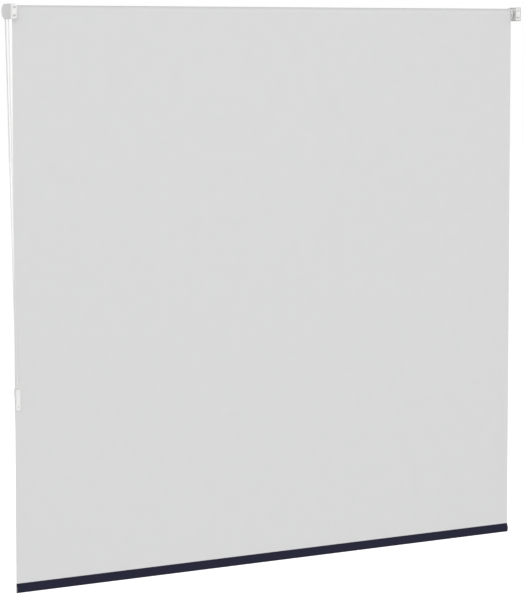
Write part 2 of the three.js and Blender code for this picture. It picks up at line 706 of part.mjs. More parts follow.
// The point and the direction at a distance along the belt, from the wheel's top towards the wall
function beltAt(along) {
  const total = BEADS * BEAD_PITCH;
  const at = ((along % total) + total) % total;
  const rearEnd = 2 * Math.PI + downAngle - Math.PI / 2 + beltLean;
  const frontEnd = downAngle + Math.PI / 2 - beltLean;
  const top = Math.PI / 2;
  const rearArc = pitchRadius * (rearEnd - top);
  const lowArc = clipRunRadius * (Math.PI - 2 * beltLean);
  const clipEdge = rearArc + strandLength + lowArc;
  if (at < rearArc) return onArc(WALL_TO_AXIS, 0, chainX, pitchRadius, top + at / pitchRadius);
  if (at < rearArc + strandLength) return onStrand(rearEnd, (at - rearArc) / strandLength, 1);
  if (at < clipEdge) {
    const angle = rearEnd + (at - rearArc - strandLength) / clipRunRadius;
    return onArc(clipPinY, clipPinZ, CLIP_X, clipRunRadius, angle);
  }
  if (at < clipEdge + strandLength) {
    return onStrand(frontEnd, 1 - (at - clipEdge) / strandLength, -1);
  }
  const angle = frontEnd + (at - clipEdge - strandLength) / pitchRadius;
  return onArc(WALL_TO_AXIS, 0, chainX, pitchRadius, angle);
}

function onArc(y, z, x, radius, angle) {
  const out = new THREE.Vector3(0, Math.cos(angle), Math.sin(angle));
  const centre = new THREE.Vector3(x, y, z).addScaledVector(out, radius);
  return { centre, out };
}

// A strand leaves the wheel at an angle and reaches the pin at the same angle
function onStrand(angle, share) {
  const out = new THREE.Vector3(0, Math.cos(angle), Math.sin(angle));
  const start = new THREE.Vector3(chainX, WALL_TO_AXIS, 0).addScaledVector(out, pitchRadius);
  const end = new THREE.Vector3(CLIP_X, clipPinY, clipPinZ).addScaledVector(out, clipRunRadius);
  return { centre: start.lerp(end, share), out };
}

// Beads with links between them, as one unbroken loop
function beadChain() {
  const stations = [];
  for (let i = 0; i < 2 * BEADS; i += 1) {
    const { centre, out } = beltAt((i * BEAD_PITCH) / 2);
    const radius = i % 2 ? LINK_RADIUS : BEAD_RADIUS;
    stations.push({ centre, across: out, up: new THREE.Vector3(-1, 0, 0), radius });
  }
  return tubeThrough(stations, BEAD_SIDES, true);
}

// Clip: a bowl for the loop with a screw tab below it
function tensionClip() {
  const bowl = clipRunRadius + BEAD_RADIUS + GAP;
  const lean = (WALL_TO_AXIS + pitchRadius - clipPinY - clipRunRadius) / -clipPinZ;
  const top = clipPinZ + CLIP_TOP;
  const front = clipPinY + bowl;
  const frontTop = front + lean * CLIP_TOP;
  const bowlBottom = clipPinZ - bowl - CLIP_BOWL_WALL;
  const outline = new THREE.Shape();
  outline.moveTo(0, top);
  outline.lineTo(0, clipPinZ - CLIP_BOTTOM);
  outline.lineTo(CLIP_TAB, clipPinZ - CLIP_BOTTOM);
  outline.lineTo(CLIP_TAB, bowlBottom - CLIP_TAPER);
  outline.quadraticCurveTo(front + CLIP_WALL, bowlBottom, front + CLIP_WALL, clipPinZ);
  outline.lineTo(frontTop + CLIP_WALL, top);
  outline.closePath();
  const pocket = new THREE.Shape();
  pocket.moveTo(frontTop + lean * OVERRUN, top + OVERRUN);
  pocket.lineTo(clipPinY - bowl, top + OVERRUN);
  pocket.absarc(clipPinY, clipPinZ, bowl, Math.PI, 2 * Math.PI, false);
  pocket.closePath();
  const half = clipWidth / 2;
  const body = solidOf(alongX(outline, CLIP_X - half, CLIP_X + half, 10));
  const inside = [CLIP_X - half + CLIP_WALL, CLIP_X + half - CLIP_WALL];
  const hollow = solidOf(alongX(pocket, ...inside, 8));
  const through = [CLIP_X - half - OVERRUN, CLIP_X + half + OVERRUN];
  const pinHole = rod(...through, CLIP_PIN_RADIUS + GAP, 12, clipPinY, clipPinZ);
  const depth = CLIP_TAB + 2 * OVERRUN;
  const screwHole = new THREE.CylinderGeometry(CLIP_HOLE_RADIUS, CLIP_HOLE_RADIUS, depth, 20);
  screwHole.translate(CLIP_X, CLIP_TAB / 2, clipPinZ - CLIP_HOLE);
  return cut(body, hollow, solidOf(pinHole), solidOf(screwHole));
}

function clipPin() {
  const half = clipWidth / 2 - GAP;
  return rod(CLIP_X - half, CLIP_X + half, CLIP_PIN_RADIUS, 12, clipPinY, clipPinZ);
}

// Assembly
const blind = new THREE.Group();

function add(name, made, colour, roughness, metalness = 0) {
  const geometry = made.isBufferGeometry ? made : geometryOf(made);
  const material = new THREE.MeshStandardMaterial({ color: colour, roughness, metalness });
  const mesh = new THREE.Mesh(geometry, material);
  mesh.name = name;
  blind.add(mesh);
}

const WHITE = 0xe9e9e7;
const GREY = 0xc9cacb;
const DRIVE_GREY = 0x8b8d90;
const COATING = 0xd8d8d8;
const NAVY = 0x292a3d;
const STEEL = 0xb4b6b8;

add("control_bracket", controlBracket(), WHITE, 0.45);
add("control_cover", controlCover(), GREY, 0.5);
add("chain_guard", chainGuard(), DRIVE_GREY, 0.5);
add("clutch_core", clutchCore(), DRIVE_GREY, 0.5);
add("core_screw", coreScrew(), STEEL, 0.3, 1);
add("hub_retainer", hubRetainer(), DRIVE_GREY, 0.5);
for (const index of [0, 1]) {
  const name = `clutch_spring_${index + 1}`;
  const start = hubStart + SPRING_START + index * SPRING_SPACING;
  add(name, spring(name, start, SPRING_PITCH, SPRING_CURLS, springCoil, SPRING_WIRE), STEEL, 0.35, 1);
}
add("sprocket", sprocket(), DRIVE_GREY, 0.45);
add("drive_hub", driveHub(), DRIVE_GREY, 0.5);
add("bead_chain", beadChain(), WHITE, 0.4);
add("roller_tube", rollerTube(), STEEL, 0.35, 1);
add("tube_spline", tubeSpline(), WHITE, 0.5);
add("fabric_roll", fabricRoll(), COATING, 0.8);
add("fabric_drop", fabricDrop(), COATING, 0.8);
add("hem_pocket", hemPocket(), NAVY, 0.85);
add("bottom_bar", bottomBar(), STEEL, 0.35, 1);
add("bar_cap_left", barCap(capOuterLeft, 1), WHITE, 0.5);
add("bar_cap_right", barCap(capOuterRight, -1), WHITE, 0.5);
add("idle_plug", idlePlug(), WHITE, 0.5);
add("plug_retainer", plugRetainer(), WHITE, 0.5);
add("idle_pin", idlePin(), STEEL, 0.3, 1);
add("pin_spring", pinSpring(), STEEL, 0.35, 1);
add("idle_bush", idleBush(), WHITE, 0.45);
add("idle_bracket", idleBracket(), WHITE, 0.45);
add("idle_cover", idleCover(), GREY, 0.5);
add("tension_clip", tensionClip(), WHITE, 0.45);
add("clip_pin", clipPin(), STEEL, 0.3, 1);

export default blind;
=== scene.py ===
# %% [markdown]
# # A chain-driven blackout roller blind, seen from the window side
#
# The solids of the blind are loaded first and stay as they are: they say where everything sits.
# This lesson dresses them. The cloth, the bead chain, the covers, the brackets and the clip are
# modelled again in fine detail, and every piece gets a finish made from nodes.
# All lengths are in metres. X runs along the roller, Y from the wall into the room, Z up.

# %% Load the blind
import json
import math

import bmesh
import bpy
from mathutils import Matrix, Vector

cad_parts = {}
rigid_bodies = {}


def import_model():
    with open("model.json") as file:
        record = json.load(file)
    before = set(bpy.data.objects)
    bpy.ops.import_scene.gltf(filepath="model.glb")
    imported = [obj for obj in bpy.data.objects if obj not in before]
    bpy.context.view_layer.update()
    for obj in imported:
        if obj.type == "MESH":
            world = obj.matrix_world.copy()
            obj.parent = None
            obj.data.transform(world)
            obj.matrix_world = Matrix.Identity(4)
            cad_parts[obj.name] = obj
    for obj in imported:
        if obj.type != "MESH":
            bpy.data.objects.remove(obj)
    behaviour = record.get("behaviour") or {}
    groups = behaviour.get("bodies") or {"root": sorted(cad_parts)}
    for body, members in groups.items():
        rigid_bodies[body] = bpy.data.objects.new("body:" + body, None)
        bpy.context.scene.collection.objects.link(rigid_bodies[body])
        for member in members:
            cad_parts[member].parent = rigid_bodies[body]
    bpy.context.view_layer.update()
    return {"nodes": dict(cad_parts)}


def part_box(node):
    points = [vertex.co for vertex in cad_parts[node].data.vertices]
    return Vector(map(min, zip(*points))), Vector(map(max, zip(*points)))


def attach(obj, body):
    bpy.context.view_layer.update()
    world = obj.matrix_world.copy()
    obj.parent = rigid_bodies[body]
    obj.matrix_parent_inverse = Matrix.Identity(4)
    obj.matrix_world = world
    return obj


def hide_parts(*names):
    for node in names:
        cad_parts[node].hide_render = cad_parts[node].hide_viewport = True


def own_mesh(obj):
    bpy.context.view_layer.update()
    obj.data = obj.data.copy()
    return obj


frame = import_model()
bpy.context.scene.view_settings.view_transform = "Standard"
MM = 0.001

# %% [markdown]
# ## The camera
# The photograph is taken from the left and a long way off, so the blind's far end looks only a
# little smaller. A long lens gives that. Its place was solved from the roll's top edge, the cloth's
# sides, the hem and the two bracket plates. The lens looks slightly down, and a small shift brings the
# blind back into the middle, as a photographer does to keep upright lines upright.

# %% The camera
view = bpy.data.cameras.new("Photograph view")
view.lens = 136.37
view.sensor_width = 36
view.shift_y = -0.1717
view.clip_end = 60
camera = bpy.data.objects.new("Photograph view", view)
camera.location = (-2.200, -5.296, -0.067)
camera.rotation_euler = (math.radians(86), 0, math.radians(-28.761))
bpy.context.collection.objects.link(camera)
bpy.context.scene.camera = camera
print("lens:", view.lens, "distance:", round(camera.location.length, 2))

# %% [markdown]
# ## Light and floor
# The photograph is a cut-out on pure white with hardly a shadow on the cloth, so the light comes from
# all round. A pale world gives most of it. Two wide soft lamps, one on the window side and one in the
# room, add the little direction that shows the roll's roundness and the edges of the plates. A weak
# light from the left, a little above, lays the plate's faint shadow on the cloth beside and below it.
# The world looks white to the camera and in reflections only, so that the white doesn't add light. The
# floor glows for the same rays, so it can't be told from the world behind it, and it still takes the
# blind's shadow.

# %% Helpers for values in node trees
def maths(tree, kind, *values):
    """A Math node whose inputs are numbers or sockets."""
    node = tree.nodes.new("ShaderNodeMath")
    node.operation = kind
    for index, value in enumerate(values):
        if isinstance(value, (int, float)):
            node.inputs[index].default_value = value
        else:
            tree.links.new(value, node.inputs[index])
    return node.outputs[0]


def ranged(tree, value, low, high):
    """A value from 0 to 1, carried to a range."""
    node = tree.nodes.new("ShaderNodeMapRange")
    node.inputs["To Min"].default_value = low
    node.inputs["To Max"].default_value = high
    tree.links.new(value, node.inputs["Value"])
    return node.outputs["Result"]


def looking(tree):
    """1 for a ray from the camera, off a gloss or through glass, and 0 for one that gathers light."""
    path = tree.nodes.new("ShaderNodeLightPath")
    plain = maths(tree, "MAXIMUM", path.outputs["Is Camera Ray"], path.outputs["Is Glossy Ray"])
    return maths(tree, "MAXIMUM", plain, path.outputs["Is Transmission Ray"])


# %% The world
LEVEL_LIGHT = 1.0
OVERHEAD_LIGHT = 0.45
world = bpy.data.worlds.new("White studio")
bpy.context.scene.world = world
world.use_nodes = True
tree = world.node_tree
tree.nodes.clear()
sky = tree.nodes.new("ShaderNodeTexCoord")
height = tree.nodes.new("ShaderNodeSeparateXYZ")
tree.links.new(sky.outputs["Generated"], height.inputs[0])
steep = maths(tree, "ABSOLUTE", height.outputs["Z"])
soft = tree.nodes.new("ShaderNodeBackground")
soft.inputs["Color"].default_value = (1, 1, 1, 1)
tree.links.new(ranged(tree, steep, LEVEL_LIGHT, OVERHEAD_LIGHT), soft.inputs["Strength"])
white = tree.nodes.new("ShaderNodeBackground")
white.inputs["Color"].default_value = (1, 1, 1, 1)
white.inputs["Strength"].default_value = 1
choose = tree.nodes.new("ShaderNodeMixShader")
out = tree.nodes.new("ShaderNodeOutputWorld")
tree.links.new(looking(tree), choose.inputs[0])
tree.links.new(soft.outputs[0], choose.inputs[1])
tree.links.new(white.outputs[0], choose.inputs[2])
tree.links.new(choose.outputs[0], out.inputs["Surface"])
print("world light:", LEVEL_LIGHT, "to", OVERHEAD_LIGHT)


# %% The lamps
def lamp(name, place, target, size, power):
    """A wide square lamp that looks at a point."""
    data = bpy.data.lights.new(name, "AREA")
    data.shape = "SQUARE"
    data.size = size
    data.energy = power
    item = bpy.data.objects.new(name, data)
    item.location = place
    way = Vector(target) - Vector(place)
    item.rotation_euler = way.to_track_quat("-Z", "Y").to_euler()
    bpy.context.collection.objects.link(item)
    print("lamp:", name, power, "W")


def far_light(name, turn, height, softness, power):
    """Even light from far off: so many degrees left of the window side's middle and above level."""
    data = bpy.data.lights.new(name, "SUN")
    data.angle = math.radians(softness)
    data.energy = power
    item = bpy.data.objects.new(name, data)
    item.rotation_euler = (math.radians(90 - height), 0, math.radians(-turn))
    bpy.context.collection.objects.link(item)
    print("far light:", name, power)


MIDDLE = (0.77, 0.03, -0.75)
LAMP_SIZE = 5.0
lamp("Window lamp", (0.5, -6.0, -0.2), MIDDLE, LAMP_SIZE, 115)
lamp("Room lamp", (1.0, 6.0, -0.2), MIDDLE, LAMP_SIZE, 185)
far_light("Left light", turn=26, height=14, softness=12, power=0.6)

# %% The floor
FLOOR_Z = -2.15
FLOOR_SIZE = 60
FLOOR_GLOW = 0.72
bpy.ops.object.select_all(action="DESELECT")
bpy.ops.mesh.primitive_plane_add(size=FLOOR_SIZE, location=(MIDDLE[0], 0, FLOOR_Z))
floor = bpy.context.object
floor.name = "pale_floor"
bpy.ops.object.transform_apply(location=True, rotation=True, scale=True)
paint = bpy.data.materials.new("pale_floor")
paint.use_nodes = True
tree = paint.node_tree
tree.nodes.clear()
shade = tree.nodes.new("ShaderNodeBsdfDiffuse")
shade.inputs["Color"].default_value = (0.55, 0.55, 0.55, 1)
glow = tree.nodes.new("ShaderNodeEmission")
glow.inputs["Color"].default_value = (1, 1, 1, 1)
tree.links.new(maths(tree, "MULTIPLY", looking(tree), FLOOR_GLOW), glow.inputs["Strength"])
both = tree.nodes.new("ShaderNodeAddShader")
out = tree.nodes.new("ShaderNodeOutputMaterial")
tree.links.new(shade.outputs[0], both.inputs[0])
tree.links.new(glow.outputs[0], both.inputs[1])
tree.links.new(both.outputs[0], out.inputs["Surface"])
floor.data.materials.append(paint)
print("floor at", FLOOR_Z)

# %% [markdown]
# ## Finishes
# Three effects are used by several finishes, so each is a node group that is built once:
#
# * a fine grain, for moulded plastic, paint and metal: small bumps and a faint unevenness of colour;
# * a plain weave, for the cloth: threads that pass over and under each other, laid out in the cloth's
#   own UV map, in metres, so the threads keep their size round the roll and the hem;
# * dust, which settles on what faces up and in patches.
#
# The groups give values only, and each material keeps its own shader.


# %% Small helpers for nodes
def group_of(name, inputs, outputs):
    """An empty shader group with named inputs and outputs."""
    made = bpy.data.node_groups.new(name, "ShaderNodeTree")
    for label, kind, value in inputs:
        socket = made.interface.new_socket(name=label, in_out="INPUT", socket_type=kind)
        if value is not None:
            socket.default_value = value
    for label, kind in outputs:
        made.interface.new_socket(name=label, in_out="OUTPUT", socket_type=kind)
    return made, made.nodes.new("NodeGroupInput"), made.nodes.new("NodeGroupOutput")


def noise(tree, vector, scale, detail=2.0, rough=0.5):
    """A noise texture, from 0 to 1, with its scale as a number or a socket."""
    node = tree.nodes.new("ShaderNodeTexNoise")
    node.inputs["Detail"].default_value = detail
    node.inputs["Roughness"].default_value = rough
    tree.links.new(vector, node.inputs["Vector"])
    if isinstance(scale, (int, float)):
        node.inputs["Scale"].default_value = scale
    else:
        tree.links.new(scale, node.inputs["Scale"])
    return node.outputs["Fac"]


# %% Fine grain
grain, given, gives = group_of(
    "Fine grain",
    [("Vector", "NodeSocketVector", None), ("Scale", "NodeSocketFloat", 900.0)],
    [("Height", "NodeSocketFloat"), ("Unevenness", "NodeSocketFloat")],
)
fine = noise(grain, given.outputs["Vector"], given.outputs["Scale"], 3.0, 0.6)
broad_scale = maths(grain, "MULTIPLY", given.outputs["Scale"], 0.045)
broad = noise(grain, given.outputs["Vector"], broad_scale, 3.0, 0.55)
grain.links.new(fine, gives.inputs["Height"])
grain.links.new(broad, gives.inputs["Unevenness"])
print("group:", grain.name)

# %% Plain weave
weave, given, gives = group_of(
    "Plain weave",
    [("UV", "NodeSocketVector", None), ("Threads per metre", "NodeSocketFloat", 2000.0)],
    [("Height", "NodeSocketFloat"), ("Thread", "NodeSocketFloat"), ("Slub", "NodeSocketFloat")],
)
parts = weave.nodes.new("ShaderNodeSeparateXYZ")
weave.links.new(given.outputs["UV"], parts.inputs[0])
wobble = noise(weave, given.outputs["UV"], 90.0, 2.0, 0.5)
shift = maths(weave, "MULTIPLY", wobble, 0.6)
across = maths(weave, "MULTIPLY", parts.outputs["X"], given.outputs["Threads per metre"])
along = maths(weave, "MULTIPLY", parts.outputs["Y"], given.outputs["Threads per metre"])
across = maths(weave, "ADD", across, shift)
along = maths(weave, "ADD", along, shift)
crossing = maths(weave, "ADD", maths(weave, "FLOOR", across), maths(weave, "FLOOR", along))
over = maths(weave, "ABSOLUTE", maths(weave, "MODULO", crossing, 2.0))
under = maths(weave, "SUBTRACT", 1.0, over)


def ridges(at, on_top):
    """The round backs of the threads, where they lie on top."""
    back = maths(weave, "ABSOLUTE", maths(weave, "SINE", maths(weave, "MULTIPLY", at, math.pi)))
    return maths(weave, "MULTIPLY", maths(weave, "POWER", back, 0.6), on_top)


weave.links.new(maths(weave, "ADD", ridges(across, over), ridges(along, under)), gives.inputs["Height"])
weave.links.new(over, gives.inputs["Thread"])
stretch = weave.nodes.new("ShaderNodeMapping")
stretch.inputs["Scale"].default_value = (1.0, 0.04, 1.0)
weave.links.new(given.outputs["UV"], stretch.inputs["Vector"])
slub = noise(weave, stretch.outputs["Vector"], 1300.0, 2.0, 0.5)
weave.links.new(slub, gives.inputs["Slub"])
print("group:", weave.name)

# %% Dust
dust, given, gives = group_of(
    "Settled dust",
    [("Vector", "NodeSocketVector", None), ("Amount", "NodeSocketFloat", 0.3)],
    [("Mask", "NodeSocketFloat")],
)
faces = dust.nodes.new("ShaderNodeNewGeometry")
parts = dust.nodes.new("ShaderNodeSeparateXYZ")
dust.links.new(faces.outputs["Normal"], parts.inputs[0])
up = maths(dust, "MAXIMUM", parts.outputs["Z"], 0.0)
patches = noise(dust, given.outputs["Vector"], 160.0, 4.0, 0.6)
settled = maths(dust, "MULTIPLY", maths(dust, "POWER", up, 1.5), patches)
dust.links.new(maths(dust, "MULTIPLY", settled, given.outputs["Amount"]), gives.inputs["Mask"])
print("group:", dust.name)


# %% Helpers for materials
def finish(name, rough, metal=0.0):
    """A material with a shader and object coordinates, ready for its pattern."""
    made = bpy.data.materials.new(name)
    made.use_nodes = True
    shader = made.node_tree.nodes["Principled BSDF"]
    shader.inputs["Metallic"].default_value = metal
    shader.inputs["Roughness"].default_value = rough
    where = made.node_tree.nodes.new("ShaderNodeTexCoord")
    return made, made.node_tree, shader, where


def placed(tree, group, **values):
    """A node group in a material, with its values or links by input name."""
    node = tree.nodes.new("ShaderNodeGroup")
    node.node_tree = group
    for label, value in values.items():
        socket = node.inputs[label.replace("_", " ")]
        if isinstance(value, (int, float)):
            socket.default_value = value
        else:
            tree.links.new(value, socket)
    return node


def blended(tree, share, first, second):
    """Two colours mixed by a share from 0 to 1."""
    node = tree.nodes.new("ShaderNodeMix")
    node.data_type = "RGBA"
    tree.links.new(share, node.inputs["Factor"])
    for socket, value in ((node.inputs["A"], first), (node.inputs["B"], second)):
        if isinstance(value, tuple):
            socket.default_value = (*value, 1)
        else:
            tree.links.new(value, socket)
    return node.outputs["Result"]


def skinned(tree, shader, colour, rough, height, depth):
    """Give a shader its colour, its roughness and a bump of that depth in metres."""
    node = tree.nodes.new("ShaderNodeBump")
    node.inputs["Distance"].default_value = depth
    node.inputs["Strength"].default_value = 1.0
    tree.links.new(height, node.inputs["Height"])
    tree.links.new(colour, shader.inputs["Base Color"])
    tree.links.new(rough, shader.inputs["Roughness"])
    tree.links.new(node.outputs["Normal"], shader.inputs["Normal"])


# %% Moulded plastic and painted steel
def moulded(name, colour, rough, scale=1100.0, depth=0.00003, dusty=0.25, tint=0.06):
    """A moulded or painted finish: fine grain, faint unevenness and a little dust."""
    made, tree, shader, where = finish(name, rough)
    point = where.outputs["Object"]
    skin = placed(tree, grain, Vector=point, Scale=scale)
    settled = placed(tree, dust, Vector=point, Amount=dusty)
    deep = tuple(value * (1 - tint) for value in colour)
    base = blended(tree, skin.outputs["Unevenness"], deep, colour)
    base = blended(tree, settled.outputs["Mask"], base, (0.62, 0.60, 0.57))
    spread = ranged(tree, skin.outputs["Unevenness"], rough - 0.05, rough + 0.07)
    skinned(tree, shader, base, spread, skin.outputs["Height"], depth)
    print("finish:", name)
    return made


bracket_paint = moulded("Painted bracket steel", (0.82, 0.82, 0.81), rough=0.42, scale=700.0, depth=0.00004)
cover_plastic = moulded("Grey cover plastic", (0.77, 0.77, 0.775), rough=0.55)
gear_plastic = moulded("White gear plastic", (0.82, 0.82, 0.80), rough=0.55, scale=900.0)
drive_plastic = moulded("Grey drive plastic", (0.26, 0.265, 0.275), rough=0.5, scale=900.0)
trim_plastic = moulded("White trim plastic", (0.82, 0.82, 0.81), rough=0.38, scale=1300.0, depth=0.00002)
bead_plastic = moulded(
    "White bead plastic", (0.83, 0.83, 0.82), rough=0.33, scale=1500.0, depth=0.00001, dusty=0.15, tint=0.04,
)


# %% Metals
def metal(name, colour, rough, direction):
    """A bare metal with fine lines drawn out along a direction."""
    made, tree, shader, where = finish(name, rough, 1.0)
    lay = tree.nodes.new("ShaderNodeMapping")
    lay.inputs["Scale"].default_value = direction
    tree.links.new(where.outputs["Object"], lay.inputs["Vector"])
    lines = placed(tree, grain, Vector=lay.outputs["Vector"], Scale=1400.0)
    deep = tuple(value * 0.86 for value in colour)
    base = blended(tree, lines.outputs["Unevenness"], deep, colour)
    spread = ranged(tree, lines.outputs["Height"], rough - 0.08, rough + 0.12)
    skinned(tree, shader, base, spread, lines.outputs["Height"], depth=0.00002)
    print("finish:", name)
    return made


bright_steel = metal("Bright steel", (0.62, 0.62, 0.63), rough=0.28, direction=(1.0, 1.0, 1.0))
drawn_aluminium = metal("Drawn aluminium", (0.70, 0.70, 0.71), rough=0.34, direction=(0.02, 1.0, 1.0))

# %% Grey coating on the window side of the cloth
THREADS = 1900.0
coating, tree, shader, where = finish("Grey blackout coating", 0.8)
shader.inputs["Specular IOR Level"].default_value = 0.2
threads = placed(tree, weave, UV=where.outputs["UV"], Threads_per_metre=THREADS)
skin = placed(tree, grain, Vector=where.outputs["UV"], Scale=500.0)
base = blended(tree, skin.outputs["Unevenness"], (0.664, 0.665, 0.668), (0.692, 0.692, 0.693))
# Painted shade: the coating is darker in the valleys between the threads, by their height.
base = blended(tree, ranged(tree, threads.outputs["Height"], 0.16, 0.0), base, (0.60, 0.60, 0.61))
spread = ranged(tree, skin.outputs["Height"], 0.70, 0.90)
height = maths(tree, "ADD", maths(tree, "MULTIPLY", threads.outputs["Height"], 0.7), skin.outputs["Height"])
skinned(tree, shader, base, spread, height, depth=0.00004)
print("finish:", coating.name)


# %% Navy weave on the room side, and the thread that sews it
def woven(name, dark, light):
    """A woven finish whose warp and weft differ a little, with slubs along the threads, and painted shade
    between the threads.
    """
    made, tree, shader, where = finish(name, 0.9)
    shader.inputs["Sheen Weight"].default_value = 0.04
    shader.inputs["Specular IOR Level"].default_value = 0.15
    shader.inputs["Sheen Roughness"].default_value = 0.5
    threads = placed(tree, weave, UV=where.outputs["UV"], Threads_per_metre=THREADS)
    skin = placed(tree, grain, Vector=where.outputs["UV"], Scale=2600.0)
    tone = maths(tree, "MULTIPLY", skin.outputs["Unevenness"], 0.12)
    # The Height share is painted shade: the threads' round backs are lighter and the valleys between them
    # darker.
    for part, share in (("Slub", 0.42), ("Thread", 0.16), ("Height", 0.20)):
        tone = maths(tree, "ADD", tone, maths(tree, "MULTIPLY", threads.outputs[part], share))
    base = blended(tree, tone, dark, light)
    spread = ranged(tree, skin.outputs["Height"], 0.80, 0.96)
    skinned(tree, shader, base, spread, threads.outputs["Height"], depth=0.00012)
    print("finish:", name)
    return made


navy = woven("Navy woven cloth", (0.006, 0.006, 0.016), (0.024, 0.025, 0.052))
sewing, tree, shader, where = finish("Navy sewing thread", 0.7)
ply = placed(tree, grain, Vector=where.outputs["Object"], Scale=3000.0)
tint = blended(tree, ply.outputs["Height"], (0.012, 0.012, 0.030), (0.045, 0.047, 0.090))
spread = ranged(tree, ply.outputs["Unevenness"], 0.6, 0.8)
skinned(tree, shader, tint, spread, ply.outputs["Height"], depth=0.00004)
print("finish:", sewing.name)

# %% [markdown]
# ## Tools for shaping
# Each hard piece is made as by hand: a primitive at its size and place, shaped in edit mode, and
# finished with modifiers that are applied. Everything is deselected first, and faces are then picked
# by their place and direction, because an operator works on all that is selected.


# %% Helpers for selecting
NEAR = 0.01 * MM
FACING = 0.9


def nothing_selected():
    """Leave edit mode and select nothing."""
    if bpy.context.object and bpy.context.object.mode != "OBJECT":
        bpy.ops.object.mode_set(mode="OBJECT")
    bpy.ops.object.select_all(action="DESELECT")


def only(piece):
    """Select one piece and make it the one that is worked on."""
    nothing_selected()
    piece.select_set(True)
    bpy.context.view_layer.objects.active = piece


def in_edit(piece):
    """Go into edit mode on one piece, with all of it selected."""
    only(piece)
    bpy.ops.object.mode_set(mode="EDIT")
    bpy.ops.mesh.select_all(action="SELECT")


def out_of_edit():
    """Leave edit mode."""
    bpy.ops.object.mode_set(mode="OBJECT")


def picked(kind, parts_of, test):
    """In edit mode, select the parts of one kind that pass a test, and count them."""
    bpy.ops.mesh.select_mode(type=kind)
    bpy.ops.mesh.select_all(action="DESELECT")
    mesh = bmesh.from_edit_mesh(bpy.context.object.data)
    mesh.normal_update()
    found = [part for part in parts_of(mesh) if test(part)]
    for part in found:
        part.select_set(True)
    if kind == "VERT":
        mesh.select_flush_mode()
    bmesh.update_edit_mesh(bpy.context.object.data)
    return len(found)


def pick_faces(test):
    """Select the faces whose middle and direction pass a test."""
    return picked("FACE", lambda mesh: mesh.faces, lambda f: test(f.calc_center_median(), f.normal))


def pick_edges(test):
    """Select the edges whose middle passes a test."""
    return picked("EDGE", lambda mesh: mesh.edges, lambda e: test((e.verts[0].co + e.verts[1].co) / 2))


def pick_points(test):
    """Select the points that pass a test."""
    return picked("VERT", lambda mesh: mesh.verts, lambda vert: test(vert.co))


# %% Helpers for shaping
def pull(x=0.0, y=0.0, z=0.0):
    """Extrude what is selected by a distance."""
    bpy.ops.mesh.extrude_region_move(TRANSFORM_OT_translate={"value": (x, y, z)})


def modified(piece, kind, **values):
    """Add a modifier, set it and apply it."""
    only(piece)
    step = piece.modifiers.new(kind.title(), kind)
    for name, value in values.items():
        setattr(step, name, value)
    bpy.ops.object.modifier_apply(modifier=step.name)


def in_mesh():
    """Put the active piece's place, turn and size into its mesh."""
    bpy.ops.object.transform_apply(location=True, rotation=True, scale=True)
    return bpy.context.object


ALONG_X = (0, math.pi / 2, 0)
ALONG_Y = (math.pi / 2, 0, 0)


def rod(middle, turn, radius, depth, sides):
    """A cylinder round a middle point, turned to lie along an axis."""
    nothing_selected()
    bpy.ops.mesh.primitive_cylinder_add(
        vertices=sides, radius=radius, depth=depth, location=middle, rotation=turn,
    )
    return in_mesh()


def cylinder(start, end, radius, y, z, sides):
    """A cylinder along X from start to end."""
    return rod(((start + end) / 2, y, z), ALONG_X, radius, end - start, sides)


def sink(middle, turn, radius1, radius2, depth):
    """A cone that sinks a screw's head."""
    nothing_selected()
    bpy.ops.mesh.primitive_cone_add(
        vertices=32, radius1=radius1, radius2=radius2, depth=depth, location=middle, rotation=turn,
    )
    return in_mesh()


def box(low, high):
    """A box between two corners."""
    nothing_selected()
    centre = [(a + b) / 2 for a, b in zip(low, high)]
    bpy.ops.mesh.primitive_cube_add(size=1, location=centre)
    bpy.context.object.scale = [b - a for a, b in zip(low, high)]
    return in_mesh()


def cut_with(piece, *tools):
    """Take each tool's shape out of the piece, and delete the tool."""
    for tool in tools:
        modified(piece, "BOOLEAN", operation="DIFFERENCE", object=tool, solver="EXACT")
        bpy.data.objects.remove(tool, do_unlink=True)


def joined(piece, *others):
    """Fuse other shapes into the piece."""
    for other in others:
        modified(piece, "BOOLEAN", operation="UNION", object=other, solver="EXACT")
        bpy.data.objects.remove(other, do_unlink=True)


def softened(piece, width, angle=40):
    """Round the sharp edges a little, as moulds and dies do."""
    modified(
        piece, "BEVEL", width=width, segments=2, limit_method="ANGLE",
        angle_limit=math.radians(angle), use_clamp_overlap=True, harden_normals=False,
    )


def settled_on(piece, name, body, material, slot, *nodes, smooth=32):
    """Name a piece, give it its finish and its body, and hide the solids that it stands for."""
    only(piece)
    in_mesh()
    bpy.ops.object.shade_smooth_by_angle(angle=math.radians(smooth))
    piece.name = name
    piece.data.name = name
    piece.data.materials.clear()
    piece.data.materials.append(material)
    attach(piece, body)
    if nodes:
        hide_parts(*nodes)
    mesh = bmesh.new()
    mesh.from_mesh(piece.data)
    open_edges = sum(1 for edge in mesh.edges if not edge.is_manifold)
    volume = mesh.calc_volume(signed=True) * 1e9
    mesh.free()
    size = [round(value * 1000, 1) for value in piece.dimensions]
    print(f"{name}: {size} mm, {len(piece.data.polygons)} faces, "
          f"{open_edges} open edges, {volume:.0f} cubic mm")


# %% [markdown]
# ## Sizes that the pieces share
# The solids' own boxes give most places. The rest are the sizes that the blind is made to: a roll of
# 32 mm on a 28 mm tube, 0.42 mm cloth, 4.5 mm beads every 6 mm.

# %% Shared sizes
AXIS_Y = 44 * MM
GAP = 0.3 * MM
CLOTH = 0.42 * MM
ROLL = 15.995 * MM
TUBE = 14 * MM
AROUND = 2 * math.pi
cloth_low, cloth_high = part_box("fabric_roll")
FABRIC_START, FABRIC_END = cloth_low[0], cloth_high[0]
CLOTH_Y = AXIS_Y - ROLL + CLOTH / 2
HEM_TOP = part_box("hem_pocket")[1][2]
HEM_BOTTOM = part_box("hem_pocket")[0][2]
print("cloth from", round(FABRIC_START, 5), "to", round(FABRIC_END, 5), "hem", HEM_BOTTOM, HEM_TOP)
